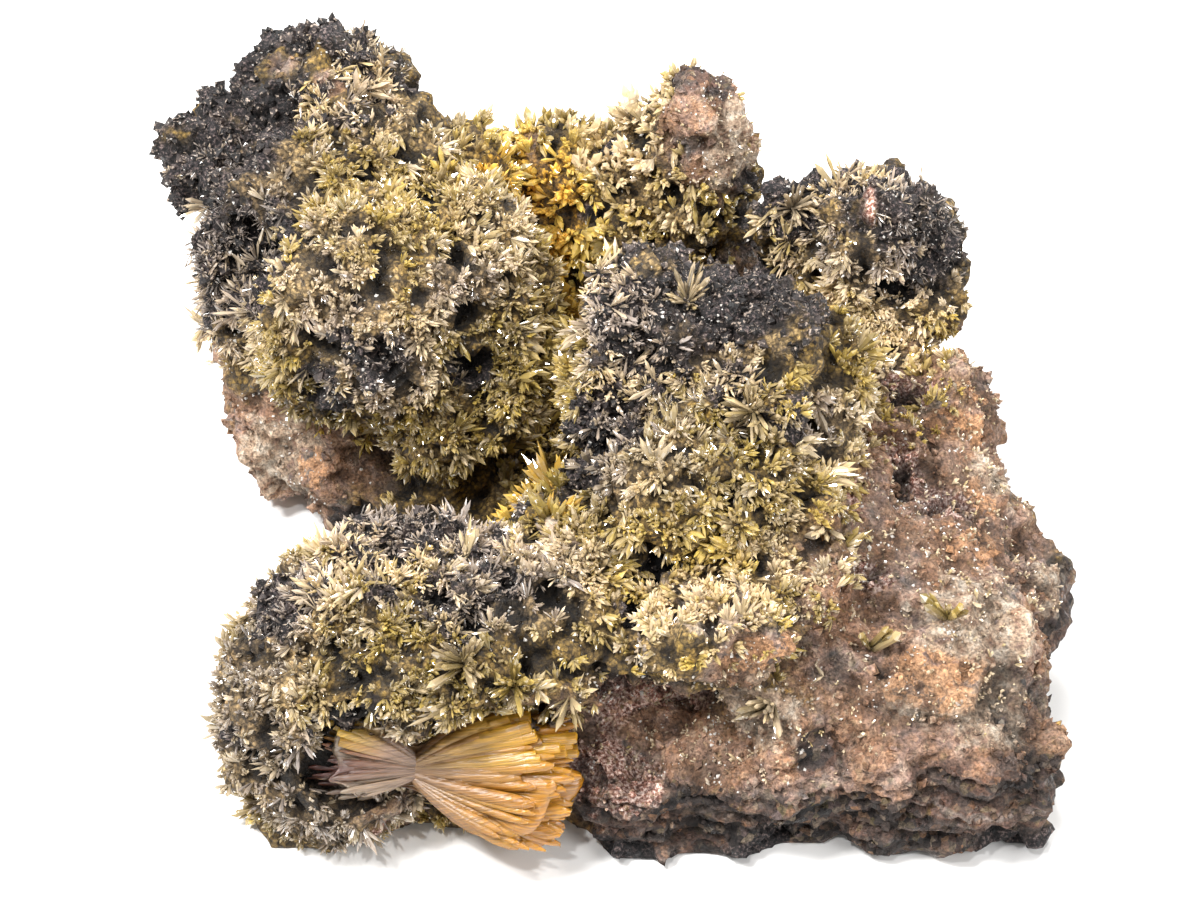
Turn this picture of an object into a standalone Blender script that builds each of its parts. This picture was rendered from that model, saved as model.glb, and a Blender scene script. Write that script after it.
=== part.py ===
# Mimetite specimen: a broken block of gossan rock, partly coated with black manganese oxide, with crusts
# of small mimetite crystals on its upper side and one large bow-tie sheaf of mimetite at its front.
#
# Frame: metres, +Z up. The underside is flat, at Z 0, and the origin is at the middle of it. The crystals
# face up and towards -Y. Lengths in the tables are in millimetres, and MM makes them metres.

import math

import bmesh
import bpy
from mathutils import Matrix, Vector, noise
from mathutils.bvhtree import BVHTree

MM = 0.001
UP = Vector((0.0, 0.0, 1.0))

# ---- driving dimensions, in millimetres ----
FUSE_VOXEL = 1.1        # grain at which the overlapping masses of rock are fused
ROCK_FACES = 2450       # triangles left on the fused rock
SLAB_TOP = 9.0          # height of the slab that carries the masses
SLAB_FOOT = -3.0        # the slab starts below the cut that makes the underside
SNAP = 0.4              # points this near the cut are moved onto it
NUDGE = 0.05            # a small step off a surface
GAP = 0.3               # clear gap between two pieces that touch
CRUST_DEPTH = 0.7       # thickness of a crust under its crystals
RIM_DEPTH = 0.4         # thickness of a crust at its rim
SINK = 0.9              # how far the rock lies lower under a crust
LEAST_ROOM = 3.0        # a crack narrower than this carries no crust
MOST_SHELL = 1.8        # limit on the stretch of an offset at a sharp corner
ROUGHNESS = ((9.0, 1.9, 3.0), (4.0, 1.5, 7.0))   # size of the lumps, their height, and a seed

# Plan of the block at its underside, anticlockwise from the front left.
FOOTPRINT = (
    (-32, -24), (-30, -31), (-25, -32.5), (-20, -30), (-14, -28), (-6, -28), (0, -32), (10, -32.5),
    (20, -28.5), (28, -30.5), (35, -32), (36, -24), (35.5, -14), (37, -8), (34.5, 1), (30.5, 8), (29, 18),
    (23, 26), (16, 29), (13, 35), (0, 38), (-12, 36), (-26, 34), (-34, 30), (-33.5, 20), (-31, 14.5),
    (-25, 10.5), (-21, 8.5), (-22.5, 5), (-23, -1), (-25, -8), (-29, -14), (-32, -18),
)

# The masses of rock: centre, half sizes, turn about Z in degrees, and roundness (1 is round, less is boxy).
LUMPS = {
    "left_boulder": ((-24.5, 20, 20), (13, 12, 16), 10, 0.8),
    "left_peak": ((-28, 29.5, 33.8), (6.4, 5.5, 6), 0, 0.85),
    "left_peak_right": ((-23.5, 28, 33.5), (4.5, 5.5, 4.5), 0, 0.85),
    "left_tip": ((-36.5, 28.5, 28), (5.5, 4.5, 4), 20, 0.9),
    "left_rear_shoulder": ((-16.8, 26, 27.7), (5, 5, 5), 0, 0.85),
    "left_flank": ((-32.4, 19, 24), (5.5, 7, 7), 0, 0.9),
    "left_brow": ((-23, 9, 25), (9.5, 9, 10), 0, 0.9),
    "left_shoulder": ((-15, 14, 24), (7, 11, 10), 0, 0.9),
    "left_low_right": ((-15, 8, 17), (6, 7, 9), 0, 0.9),
    "left_foot": ((-31.3, 16, 9), (5.5, 6, 7), 30, 0.85),
    "left_toe": ((-24.5, 10.5, 6), (6.5, 4, 7), 30, 0.85),
    "rear_ridge": ((-4, 34, 14.5), (11, 6, 12), 0, 0.8),
    "tower": ((7.8, 32, 24.3), (4.8, 5, 11), 0, 0.75),
    "tower_left": ((3.5, 33, 23.3), (3.5, 4, 8), 0, 0.85),
    "tower_foot": ((7.5, 31, 11), (7, 6, 11), 0, 0.8),
    "right_knob": ((23.8, 17.2, 24.2), (5.8, 5.9, 9.3), 0, 0.85),
    "right_knob_small": ((15.5, 20.5, 25), (3.5, 3.5, 6.5), 0, 0.9),
    "right_knob_side": ((28.3, 14.5, 23), (3.5, 3.9, 3.9), 0, 0.9),
    "right_knob_foot": ((20, 13, 11), (9, 11, 12), 0, 0.85),
    "centre_knob": ((3, 0, 26), (8, 8, 10.5), 0, 0.8),
    "centre_knob_right": ((12, -2, 25), (8, 8, 9.5), 0, 0.8),
    "centre_front": ((7, -10, 19), (10, 9, 10), 0, 0.85),
    "centre_low": ((10, -15, 17), (10, 8, 6), 0, 0.85),
    "right_slope": ((20, -7, 10), (15, 16, 10), 0, 0.75),
    "right_block": ((19, -18, 7), (16.5, 12.5, 9), 0, 0.65),
    "rim_top": ((29.4, 7.5, 11.3), (5.2, 6, 7), 0, 0.85),
    "rim_mid": ((31.3, 0, 8.5), (4.8, 6, 6), 0, 0.85),
    "rim_side": ((35.3, -8, 8), (5.2, 5.5, 5), 0, 0.85),
    "rim_low": ((34, -20, 6), (3.5, 5, 5), 0, 0.85),
    "ledge": ((6, -21, 17), (8, 7, 4), 0, 0.8),
    "front_lobe": ((-16.5, -20.3, 12.3), (15, 9.9, 9.3), -6, 0.85),
    "front_lobe_left": ((-26.6, -22.6, 8), (6.5, 8, 8.5), 0, 0.85),
    "front_lobe_back": ((-24, -17, 9), (7.6, 6, 7), -20, 0.85),
    "front_lobe_right": ((-5, -17, 14), (8, 9, 8.5), 0, 0.85),
}

# Hollows cut out of the fused masses, in the same form.
HOLLOWS = {
    "cave_under_ledge": ((1, -29, 10.5), (9, 6, 3.2), 0, 0.9),
    "valley": ((-4, 17, 16), (3.5, 12, 6), -20, 0.9),
    "valley_mouth": ((-10, 1, 15), (4, 6, 4), -30, 0.9),
    "right_groove": ((23.5, -5, 21), (2.2, 9, 4), 8, 0.9),
    "front_lobe_pit": ((-26, -27, 18.5), (4, 4, 3), 0, 0.9),
    "front_lobe_pit_right": ((-14, -26, 22.5), (5, 3, 2.5), 0, 0.9),
    "sheaf_niche": ((-22.5, -32.5, 13), (6.5, 4, 4.5), 0, 0.9),
    "left_pit": ((-33, 12, 29), (3, 4, 3), 0, 0.9),
}

# Beds of rock that stand out at the foot of the front, in the same form.
STRATA = {
    "low_bed": ((15, -26.5, 2.0), (20, 4.5, 1.4), -2, 0.4),
    "middle_bed": ((19, -26, 5.6), (16, 5.6, 1.3), 1, 0.4),
    "upper_bed": ((23, -25.5, 9.2), (12, 5.5, 1.2), 3, 0.4),
}

# The bow-tie sheaf. Its fan lies in the plane of SHEAF_ALONG and SHEAF_ACROSS, half sunk in the rock.
SHEAF_WAIST = (-17.0, -29.4, 8.4)
SHEAF_SLOPE = 42.0      # the fan leans back by this angle from upright
BED_GAP = 0.4           # gap between the sheaf and its bed in the rock
SHEAF_NECK = 1.9        # half width of the waist
# Blades of the right fan from top to bottom: angle in the fan, length, width.
RIGHT_FAN = (
    (35, 9.0, 3.0), (22, 11.6, 3.2), (10, 13.0, 3.0), (-2, 13.4, 3.2), (-13, 13.0, 3.2), (-22, 12.8, 3.2),
    (-30, 12.0, 3.0),
)
LEFT_FAN = ((138, 6.0, 2.2), (153, 8.6, 2.4), (166, 8.4, 2.2), (182, 9.2, 2.4), (199, 6.6, 2.4))
# Layers of each fan, front to back: lean towards the front in degrees, share of the length.
RIGHT_LAYERS = ((14, 0.88), (-4, 1.0))
LEFT_LAYERS = ((18, 0.9), (3, 1.0))

# Crusts: the patches of the rock's skin that each covers, as centres and half sizes of ellipsoids, and
# the least and the greatest height of its crystals or knobs. An earlier crust takes a shared face.
CRUSTS = {
    "manganese_crust_left_peak": (
        "manganese", (((-28, 29, 36), (16, 13, 11)), ((-37, 22, 27), (9, 13, 13))), 0.3, 0.9),
    "manganese_crust_centre_knob": ("manganese", (((8, 1, 34), (12, 8, 7)),), 0.3, 0.9),
    "manganese_crust_right_knob": ("manganese", (((22, 18, 32), (12, 8, 8)),), 0.3, 0.9),
    "manganese_crust_front_lobe": ("manganese", (((-20, -17, 21), (10, 5, 6)),), 0.3, 0.9),
    "mimetite_crust_left_lobe": ("mimetite", (((-18, 13, 24), (16, 25, 20)),), 0.7, 1.5),
    "mimetite_crust_valley": (
        "mimetite", (((-3, 31, 25), (13, 12, 14)), ((-4, 18, 14), (8, 14, 10))), 0.7, 1.5),
    "mimetite_crust_right_knob": ("mimetite", (((21, 8, 22), (10, 10, 10)),), 0.6, 1.3),
    "mimetite_crust_centre": (
        "mimetite", (((5, -14, 22), (15, 14, 12)), ((-5, 0, 20), (10, 8, 11))), 0.7, 1.5),
    "mimetite_crust_front_lobe": ("mimetite", (((-18, -24, 14), (17, 14, 13)),), 0.6, 1.3),
}
LEAST_SLOPE = -0.25     # a face that looks down more than this carries no crust

# Crystals that stand out from the crusts: a point near the foot, count, length, thickness, spread in
# degrees, lean towards -Y in degrees, and the shade of mimetite. The foot is sought along the lean.
SPRAYS = {
    "mimetite_star_right_knob": ((15.8, 18.4, 29.7), 5, 2.9, 0.8, 70, 40, "pale"),
    "mimetite_cluster_valley": ((-6.2, 26.0, 12.0), 5, 3.4, 1.3, 55, 45, "golden"),
    "mimetite_needles_centre_knob": ((5.7, -0.5, 35.5), 5, 3.0, 0.8, 65, 30, "pale"),
    "mimetite_fan_centre_right": ((9.9, -9.9, 29.8), 4, 3.2, 0.9, 60, 45, "pale"),
    "mimetite_prism_right_slope": ((26.6, -19.6, 17.9), 2, 3.0, 1.1, 50, 45, "pale"),
    "mimetite_prism_right_block": ((21.4, -21.8, 15.4), 2, 2.6, 1.1, 55, 40, "pale"),
    "mimetite_blades_front_lobe": ((-13.2, -27.6, 19.7), 5, 3.4, 1.0, 55, 45, "golden"),
    "mimetite_cluster_front_lobe": ((-8.5, -28.7, 17.3), 5, 2.8, 1.1, 60, 45, "golden"),
    "mimetite_crystals_ledge": ((10.8, -27.6, 13.7), 3, 2.6, 1.0, 50, 45, "pale"),
}
SEEK = 8.0              # how far out the search for the foot starts
SPRAY_POINT = 0.6       # height of a crystal's end over its shaft, in thicknesses

# Colour, roughness and metallic value of each material.
FINISHES = {
    "rock": ((0.42, 0.27, 0.20), 0.85, 0.0),
    "manganese": ((0.035, 0.028, 0.03), 0.6, 0.0),
    "mimetite": ((0.45, 0.33, 0.10), 0.3, 0.0),
    "golden": ((0.68, 0.40, 0.05), 0.2, 0.0),
    "pale": ((0.60, 0.47, 0.25), 0.25, 0.0),
    "amber": ((0.62, 0.30, 0.05), 0.25, 0.0),
}


def clear_scene():
    for old in list(bpy.data.objects):
        bpy.data.objects.remove(old)


def chance(seed, index):
    """A steady number from 0 to 1 for each seed and index."""
    return 0.5 + 0.5 * math.sin(12.9898 * index + 78.233 * seed + 4.1 * index * index)


# ---- objects, materials and settled meshes ----

def new_object(name, bm):
    mesh = bpy.data.meshes.new(name)
    bm.to_mesh(mesh)
    bm.free()
    obj = bpy.data.objects.new(name, mesh)
    bpy.context.scene.collection.objects.link(obj)
    return obj


def settled(obj, *helpers):
    """The object's mesh as its modifiers leave it, in a bmesh. The objects are removed."""
    bpy.context.view_layer.update()
    graph = bpy.context.evaluated_depsgraph_get()
    mesh = bpy.data.meshes.new_from_object(obj.evaluated_get(graph))
    bm = bmesh.new()
    bm.from_mesh(mesh)
    bpy.data.meshes.remove(mesh)
    for done in (obj, *helpers):
        bpy.data.objects.remove(done)
    bm.normal_update()
    return bm


def combined(bm, other, operation, self_crossing=False):
    """The Boolean of two closed meshes. Both are used up."""
    target = new_object("target", bm)
    tool = new_object("tool", other)
    join = target.modifiers.new("join", "BOOLEAN")
    join.operation = operation
    join.solver = "EXACT"
    join.use_self = self_crossing
    join.object = tool
    result = settled(target, tool)
    bmesh.ops.remove_doubles(result, verts=result.verts, dist=1e-6)
    bmesh.ops.dissolve_degenerate(result, edges=result.edges, dist=1e-6)
    bmesh.ops.triangulate(result, faces=result.faces[:])
    return result


def finished(name, bm, finish):
    """A node with its own material."""
    obj = new_object(name, bm)
    colour, roughness, metallic = FINISHES[finish]
    material = bpy.data.materials.new(name)
    material.use_nodes = True
    shader = material.node_tree.nodes["Principled BSDF"]
    shader.inputs["Base Color"].default_value = (*colour, 1.0)
    shader.inputs["Roughness"].default_value = roughness
    shader.inputs["Metallic"].default_value = metallic
    obj.data.materials.append(material)
    return obj


# ---- the rock ----

def add_lump(bm, centre, half, turn, roundness):
    """One mass of rock: a ball pulled towards a box, then stretched, turned and placed."""
    verts = bmesh.ops.create_icosphere(bm, subdivisions=3, radius=1.0)["verts"]
    for v in verts:
        v.co = Vector([math.copysign(abs(c) ** roundness, c) for c in v.co])
    place = Matrix.Translation(Vector(centre)) @ Matrix.Rotation(math.radians(turn), 4, "Z")
    bmesh.ops.transform(bm, matrix=place @ Matrix.Diagonal((*half, 1.0)), verts=verts)


def lump_mesh(*tables):
    bm = bmesh.new()
    for table in tables:
        for centre, half, turn, roundness in table.values():
            add_lump(bm, centre, half, turn, roundness)
    return bm


def add_slab(bm, outline, bottom, top):
    face = bm.faces.new([bm.verts.new((x, y, bottom)) for x, y in outline])
    made = bmesh.ops.extrude_face_region(bm, geom=[face])["geom"]
    raised = [g for g in made if isinstance(g, bmesh.types.BMVert)]
    bmesh.ops.translate(bm, vec=(0, 0, top - bottom), verts=raised)
    bmesh.ops.recalc_face_normals(bm, faces=bm.faces)


def add_fuse(obj):
    remesh = obj.modifiers.new("fuse", "REMESH")
    remesh.mode = "VOXEL"
    remesh.voxel_size = FUSE_VOXEL * MM


def fused_masses():
    """The slab and the masses on it, fused into one skin, with the hollows cut out."""
    bm = lump_mesh(LUMPS, STRATA)
    add_slab(bm, FOOTPRINT, SLAB_FOOT, SLAB_TOP)
    cut = lump_mesh(HOLLOWS)
    for part in (bm, cut):
        bmesh.ops.scale(part, vec=(MM, MM, MM), verts=part.verts)
    masses = new_object("masses", bm)
    hollows = new_object("hollows", cut)
    add_fuse(masses)
    carve = masses.modifiers.new("hollows", "BOOLEAN")
    carve.operation = "DIFFERENCE"
    carve.object = hollows
    add_fuse(masses)
    return settled(masses, hollows)


def roughen(bm, size, height, seed):
    for v in bm.verts:
        v.co += v.normal * (height * MM) * noise.noise(v.co / (size * MM) + Vector((seed, 0, 0)))
    bm.normal_update()


def thinned(bm, triangles):
    obj = new_object("thinning", bm)
    decimate = obj.modifiers.new("thin", "DECIMATE")
    decimate.use_collapse_triangulate = True
    decimate.ratio = triangles / (2.0 * len(obj.data.polygons))
    return settled(obj)


def cut_flat(bm):
    """Cuts the underside off at Z 0 and closes it with one flat face."""
    for v in bm.verts:
        if abs(v.co.z) < SNAP * MM:
            v.co.z = 0.0
    cut = bmesh.ops.bisect_plane(
        bm, geom=bm.verts[:] + bm.edges[:] + bm.faces[:], dist=1e-6,
        plane_co=(0, 0, 0), plane_no=(0, 0, -1), clear_outer=True)
    rim = [e for e in cut["geom_cut"] if isinstance(e, bmesh.types.BMEdge)]
    bmesh.ops.holes_fill(bm, edges=rim, sides=0)
    bmesh.ops.triangulate(bm, faces=bm.faces[:])


def rock_skin():
    bm = fused_masses()
    for size, height, seed in ROUGHNESS:
        roughen(bm, size, height, seed)
    bm = thinned(bm, ROCK_FACES)
    cut_flat(bm)
    return bm


# ---- crystals ----

def add_crystal(bm, foot, bend, tip, width, thickness, across, point, rings_at=((0.0, 0.7), (1.0, 1.0))):
    """A six-sided blade from foot to tip that bows through bend and ends in a point. Its width lies along
    across. rings_at gives its cross-sections: share of the way, and share of the full width."""
    rings = []
    for share, scale in rings_at:
        centre = foot * (1 - share) ** 2 + bend * 2 * share * (1 - share) + tip * share ** 2
        along = ((bend - foot) * (1 - share) + (tip - bend) * share).normalized()
        side = (across - along * across.dot(along)).normalized()
        front = along.cross(side)
        ring = []
        for k in range(6):
            angle = math.radians(60 * k)
            spot = centre + side * math.cos(angle) * width * scale / 2
            ring.append(bm.verts.new(spot + front * math.sin(angle) * thickness * scale / 2))
        rings.append(ring)
    for low, high in zip(rings, rings[1:]):
        for k in range(6):
            bm.faces.new((low[k], low[(k + 1) % 6], high[(k + 1) % 6], high[k]))
    bm.faces.new(rings[0][::-1])
    end = bm.faces.new(rings[-1])
    peak = bmesh.ops.poke(bm, faces=[end])["verts"]
    direction = (tip - bend).normalized()
    bmesh.ops.translate(bm, vec=direction * point, verts=peak)


def grown_together(crystals):
    """One solid of crystals that overlap. The first and the others are the two sides of the union."""
    first, others = crystals[0], bmesh.new()
    for crystal in crystals[1:]:
        scratch = bpy.data.meshes.new("crystal")
        crystal.to_mesh(scratch)
        crystal.free()
        others.from_mesh(scratch)
        bpy.data.meshes.remove(scratch)
    return combined(first, others, "UNION", self_crossing=True)


def crystal(*shape):
    bm = bmesh.new()
    add_crystal(bm, *shape)
    bmesh.ops.scale(bm, vec=(MM, MM, MM), verts=bm.verts)
    bmesh.ops.recalc_face_normals(bm, faces=bm.faces)
    return bm


def fan_blades(blades, layers, seed):
    """The blades of one side of the bow tie, from its waist."""
    lean = math.radians(SHEAF_SLOPE)
    waist = Vector(SHEAF_WAIST)
    along = Vector((1.0, 0.0, 0.0))
    across = Vector((0.0, math.sin(lean), math.cos(lean)))
    front = Vector((0.0, -math.cos(lean), math.sin(lean)))
    crystals = []
    steepest = max(abs(math.sin(math.radians(angle))) for angle, _, _ in blades)
    for layer, (tilt, share) in enumerate(layers):
        for index, (angle, length, width) in enumerate(blades):
            turn = math.radians(angle + 5 * (chance(seed, index + 10 * layer) - 0.5))
            reach = length * share * (0.94 + 0.1 * chance(seed + 1, index + 10 * layer))
            out = along * math.cos(turn) + across * math.sin(turn)
            out = out * math.cos(math.radians(tilt)) + front * math.sin(math.radians(tilt))
            spread = math.sin(turn) / steepest
            foot = waist + across * SHEAF_NECK * 0.6 * spread - out * 0.8
            tip = waist + out * reach
            bend = waist + out * reach * 0.35 + across * SHEAF_NECK * 1.1 * spread
            outer = abs(spread) > 0.7
            sections = ((0.0, 0.45), (0.5, 0.8), (1.0, 1.0)) if outer else ((0.0, 0.45), (1.0, 1.0))
            shape = crystal(foot, bend, tip, width, width * 0.75, across, width * 0.45, sections)
            crystals.append(shape)
    return crystals


def hull_of(crystals, margin):
    """A convex envelope of some crystals, larger than them by the margin all round."""
    bm = bmesh.new()
    for part in crystals:
        for v in part.verts:
            bm.verts.new(v.co)
    made = bmesh.ops.convex_hull(bm, input=bm.verts)
    inside = [g for g in made["geom_interior"] if isinstance(g, bmesh.types.BMVert)]
    bmesh.ops.delete(bm, geom=inside, context="VERTS")
    bmesh.ops.recalc_face_normals(bm, faces=bm.faces)
    bm.normal_update()
    moves = [(v, v.normal * (margin * MM * v.calc_shell_factor())) for v in bm.verts]
    for v, move in moves:
        v.co += move
    return bm


# ---- crusts ----

def in_patch(spot, balls):
    for centre, half in balls:
        offset = [(s / MM - c) / h for s, c, h in zip(spot, centre, half)]
        if sum(o * o for o in offset) < 1.0:
            return True
    return False


def neighbours(face):
    for edge in face.edges:
        for other in edge.link_faces:
            if other is not face:
                yield other


def area_of(faces):
    return sum(face.calc_area() for face in faces)


def largest_patch(faces):
    """The largest set of the faces that are joined by edges."""
    left = set(faces)
    best = set()
    while left:
        start = min(left, key=lambda face: face.index)
        left.discard(start)
        patch, open_faces = {start}, [start]
        while open_faces:
            for other in neighbours(open_faces.pop()):
                if other in left:
                    left.discard(other)
                    patch.add(other)
                    open_faces.append(other)
        if area_of(patch) > area_of(best):
            best = patch
    return best


def pinches(faces):
    """The vertices where some of the faces meet others of them without sharing an edge."""
    rims = {}
    for face in faces:
        for edge in face.edges:
            if sum(other in faces for other in edge.link_faces) == 1:
                for vert in edge.verts:
                    rims.setdefault(vert, set()).add(edge)
    return {vert for vert, edges in rims.items() if len(edges) > 2}


def clear_of_pinches(patches):
    """Drops the faces round each pinch, in one patch or between two, until none is left."""
    while True:
        corners = pinches(set().union(*patches.values()))
        for mine in patches.values():
            corners |= pinches(mine)
        if not corners:
            return patches
        dropped = {face for vert in corners for face in vert.link_faces}
        patches = {name: largest_patch(mine - dropped) for name, mine in patches.items()}


def smoothed(patch, allowed):
    """The patch with its notches filled and the faces that stick out of its rim taken off."""
    for _ in range(3):
        beside = {other for face in patch for other in neighbours(face)} - patch
        patch = patch | {f for f in beside & allowed if sum(o in patch for o in neighbours(f)) >= 2}
        patch = {f for f in patch if sum(o in patch for o in neighbours(f)) >= 2}
    return largest_patch(patch)


def crust_patches(rock, bare):
    """Which faces of the rock each crust covers."""
    tree = BVHTree.FromBMesh(rock)
    free = set()
    for face in rock.faces:
        start = face.calc_center_median() + face.normal * NUDGE * MM
        in_crack = tree.ray_cast(start, face.normal, LEAST_ROOM * MM)[0] is not None
        if face not in bare and face.normal.z >= LEAST_SLOPE and not in_crack:
            free.add(face)
    patches = {}
    for name, (_, balls, _, _) in CRUSTS.items():
        mine = {face for face in free if in_patch(face.calc_center_median(), balls)}
        patches[name] = smoothed(largest_patch(mine), free)
        free -= patches[name]
    return clear_of_pinches(patches)


def in_order(faces):
    return sorted(faces, key=lambda f: f.index)


def rim_of(faces):
    """The edges round a patch, each as the two ends in the order of the patch's own face, and that face."""
    rim = []
    for face in in_order(faces):
        for loop in face.loops:
            if sum(other in faces for other in loop.edge.link_faces) == 1:
                rim.append((loop.vert, loop.link_loop_next.vert, face))
    return rim


def rim_shifts(rim):
    """How far each vertex of the rim moves towards the patch, so that two crusts side by side are clear."""
    sides = {}
    for a, b, face in rim:
        line = (b.co - a.co).normalized()
        to_middle = face.calc_center_median() - a.co
        side = (to_middle - line * to_middle.dot(line)).normalized()
        sides.setdefault(a, []).append(side)
        sides.setdefault(b, []).append(side)
    shifts = {}
    for v, found in sides.items():
        mean = sum(found, Vector()) / len(found)
        shifts[v] = mean.normalized() * (GAP * MM / max(mean.length, 0.6))
    return shifts


def verts_of(faces):
    return sorted({v for f in faces for v in f.verts}, key=lambda v: v.index)


def raise_knobs(tops, shifts, low, high, seed):
    """Lifts the inner vertices of a plate by different heights, which makes it lumpy."""
    for v, top in tops.items():
        if v not in shifts:
            top.co += v.normal * ((low + (high - low) * chance(seed, v.index)) * MM)


def room_over(face, spot, tree, height):
    """The height a point over this spot of the face may have, clear of what stands opposite and beside."""
    room = height * MM
    hit = tree.ray_cast(spot + face.normal * NUDGE * MM, face.normal, 8 * MM)[3]
    if hit is not None:
        room = min(room, 0.45 * hit - (GAP + CRUST_DEPTH) * MM)
    for edge in face.edges:
        open_angle = math.pi / 2 + edge.calc_face_angle_signed(0.0) / 2 - math.radians(12)
        if open_angle < math.pi / 2:
            ends = [v.co for v in edge.verts]
            reach = (spot - ends[0]).cross(ends[1] - ends[0]).length / edge.calc_length()
            room = min(room, reach * math.tan(max(open_angle, 0.0)))
    return max(room, 0.1 * MM)


def raise_crystals(plate, upper, tree, low, high, seed):
    """Draws each upper face of a plate out to a point, off its middle, like a crystal's end."""
    for face, top in upper:
        shares = [0.6 + 0.8 * chance(seed + k, face.index) for k in (1, 2, 3)]
        corners = [v.co.copy() for v in top.verts]
        spot = sum((c * share for c, share in zip(corners, shares)), Vector()) / sum(shares)
        foot = sum((v.co * share for v, share in zip(face.verts, shares)), Vector()) / sum(shares)
        room = room_over(face, foot, tree, low + (high - low) * chance(seed, face.index))
        peak = bmesh.ops.poke(plate, faces=[top])["verts"][0]
        peak.co = spot + face.normal * room


def crust(faces, tree, finish, low, high, seed):
    """A plate that lies GAP over these faces, with a crystal or a knob on each. Each of its faces notes the
    face of the rock that it lies over."""
    rim = rim_of(faces)
    shifts = rim_shifts(rim)
    plate = bmesh.new()
    source = plate.faces.layers.int.new("source")
    tops, floors = {}, {}
    for v in verts_of(faces):
        out = v.normal * (MM * min(v.calc_shell_factor(), MOST_SHELL))
        place = v.co + shifts.get(v, Vector()) + out * GAP
        floors[v] = plate.verts.new(place)
        tops[v] = plate.verts.new(place + out * (RIM_DEPTH if v in shifts else CRUST_DEPTH))

    def add(corners, face):
        made = plate.faces.new(corners)
        made[source] = face.index
        return made

    upper = []
    for face in in_order(faces):
        upper.append((face, add([tops[v] for v in face.verts], face)))
        add([floors[v] for v in reversed(face.verts)], face)
    for a, b, face in rim:
        add((tops[b], tops[a], floors[b]), face)
        add((tops[a], floors[a], floors[b]), face)
    if finish == "manganese":
        raise_knobs(tops, shifts, low, high, seed)
    else:
        raise_crystals(plate, upper, tree, low, high, seed)
    plate.normal_update()
    return plate


def sink_rock(rock, surface, patches):
    """Lowers the skin of the rock under the inside of each patch, so that the crust fills the hollow."""
    covered = set().union(*patches.values())
    outside = {v for a, b, _ in rim_of(covered) for v in (a, b)}
    for v, place in surface.items():
        v.co = place
    rock.normal_update()
    moves = {v: -v.normal * SINK * MM for v in verts_of(covered) if v not in outside}
    for v, move in moves.items():
        v.co += move
    rock.normal_update()


def crossing_faces(plates, others):
    """The faces of the rock whose part of a plate runs into something else."""
    found = set()
    trees = {name: BVHTree.FromBMesh(plate) for name, plate in plates.items()}
    for name, plate in plates.items():
        plate.faces.ensure_lookup_table()
        source = plate.faces.layers.int["source"]
        for other in others + [tree for key, tree in trees.items() if key != name]:
            found |= {plate.faces[mine][source] for mine, _ in trees[name].overlap(other)}
    return found


def fitted_crusts(rock, patches, sheaf_tree):
    """The crusts, with the rock lowered under them. Patches give up the faces where a crust does not fit."""
    surface = {v: v.co.copy() for v in rock.verts}
    while True:
        sink_rock(rock, surface, patches)
        tree = BVHTree.FromBMesh(rock)
        plates = {}
        for seed, (name, (finish, _, low, high)) in enumerate(CRUSTS.items()):
            plates[name] = crust(patches[name], tree, finish, low, high, seed)
        spoiled = crossing_faces(plates, [tree, sheaf_tree])
        if not spoiled:
            return plates
        dropped = {face for face in rock.faces if face.index in spoiled}
        patches = clear_of_pinches({name: largest_patch(mine - dropped) for name, mine in patches.items()})


# ---- standing crystals ----

def turned_up(axis):
    """The turn that takes +Z to the axis."""
    return UP.rotation_difference(axis).to_matrix().to_4x4()


def spray(count, length, thickness, spread, axis, seed):
    """Crystals that radiate from one foot, at the origin, about the axis."""
    crystals = []
    for index in range(count):
        tilt = math.radians(spread) * (0.5 + 0.5 * index / max(count - 1, 1))
        turn = math.radians(137.5 * index + 40 * chance(seed, index))
        out = Vector((math.sin(tilt) * math.cos(turn), math.sin(tilt) * math.sin(turn), math.cos(tilt)))
        reach = length * (1.0 - 0.3 * chance(seed + 1, index))
        side = out.orthogonal()
        width = thickness * (0.85 + 0.3 * chance(seed + 2, index))
        foot = -out * 0.3 * thickness
        shape = crystal(foot, foot + out * reach * 0.5, out * reach, width, width, side, width * SPRAY_POINT)
        crystals.append(shape)
    bm = grown_together(crystals) if count > 1 else crystals[0]
    bmesh.ops.transform(bm, matrix=turned_up(axis), verts=bm.verts)
    return bm


def clearance(bm, ground, ground_tree):
    """The gap between two meshes, or 0 where they cross."""
    tree = BVHTree.FromBMesh(bm)
    if tree.overlap(ground_tree):
        return 0.0
    near = min(ground_tree.find_nearest(v.co)[3] for v in bm.verts)
    for spot in ground:
        hit = tree.find_nearest(spot, 2 * MM)[3]
        if hit is not None:
            near = min(near, hit)
    return near


def settle_on(bm, foot, axis, ground, ground_tree):
    """Raises the mesh along its axis, from a start sunk in the ground, until it is clear by GAP."""
    bmesh.ops.translate(bm, vec=foot - axis * MM, verts=bm.verts)
    while clearance(bm, ground, ground_tree) < GAP * MM:
        bmesh.ops.translate(bm, vec=axis * NUDGE * MM, verts=bm.verts)


def standing_crystals(name, nodes, seed):
    """The node of one spray, set down on the nodes made before it."""
    foot, count, length, thickness, spread, lean, finish = SPRAYS[name]
    ground = bmesh.new()
    for node in nodes:
        ground.from_mesh(node.data)
    ground_tree = BVHTree.FromBMesh(ground)
    lean = math.radians(lean)
    axis = Vector((0.0, -math.sin(lean), math.cos(lean)))
    seat = ground_tree.ray_cast((Vector(foot) + axis * SEEK) * MM, -axis)[0]
    shape = spray(count, length, thickness, spread, axis, seed)
    near = [v.co.copy() for v in ground.verts if (v.co - seat).length < (length + SEEK) * MM]
    ground.free()
    settle_on(shape, seat, axis, near, ground_tree)
    return finished(name, shape, finish)


# ---- main ----

def on_surface(face, tree):
    return tree.find_nearest(face.calc_center_median())[3] < NUDGE * MM


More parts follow.
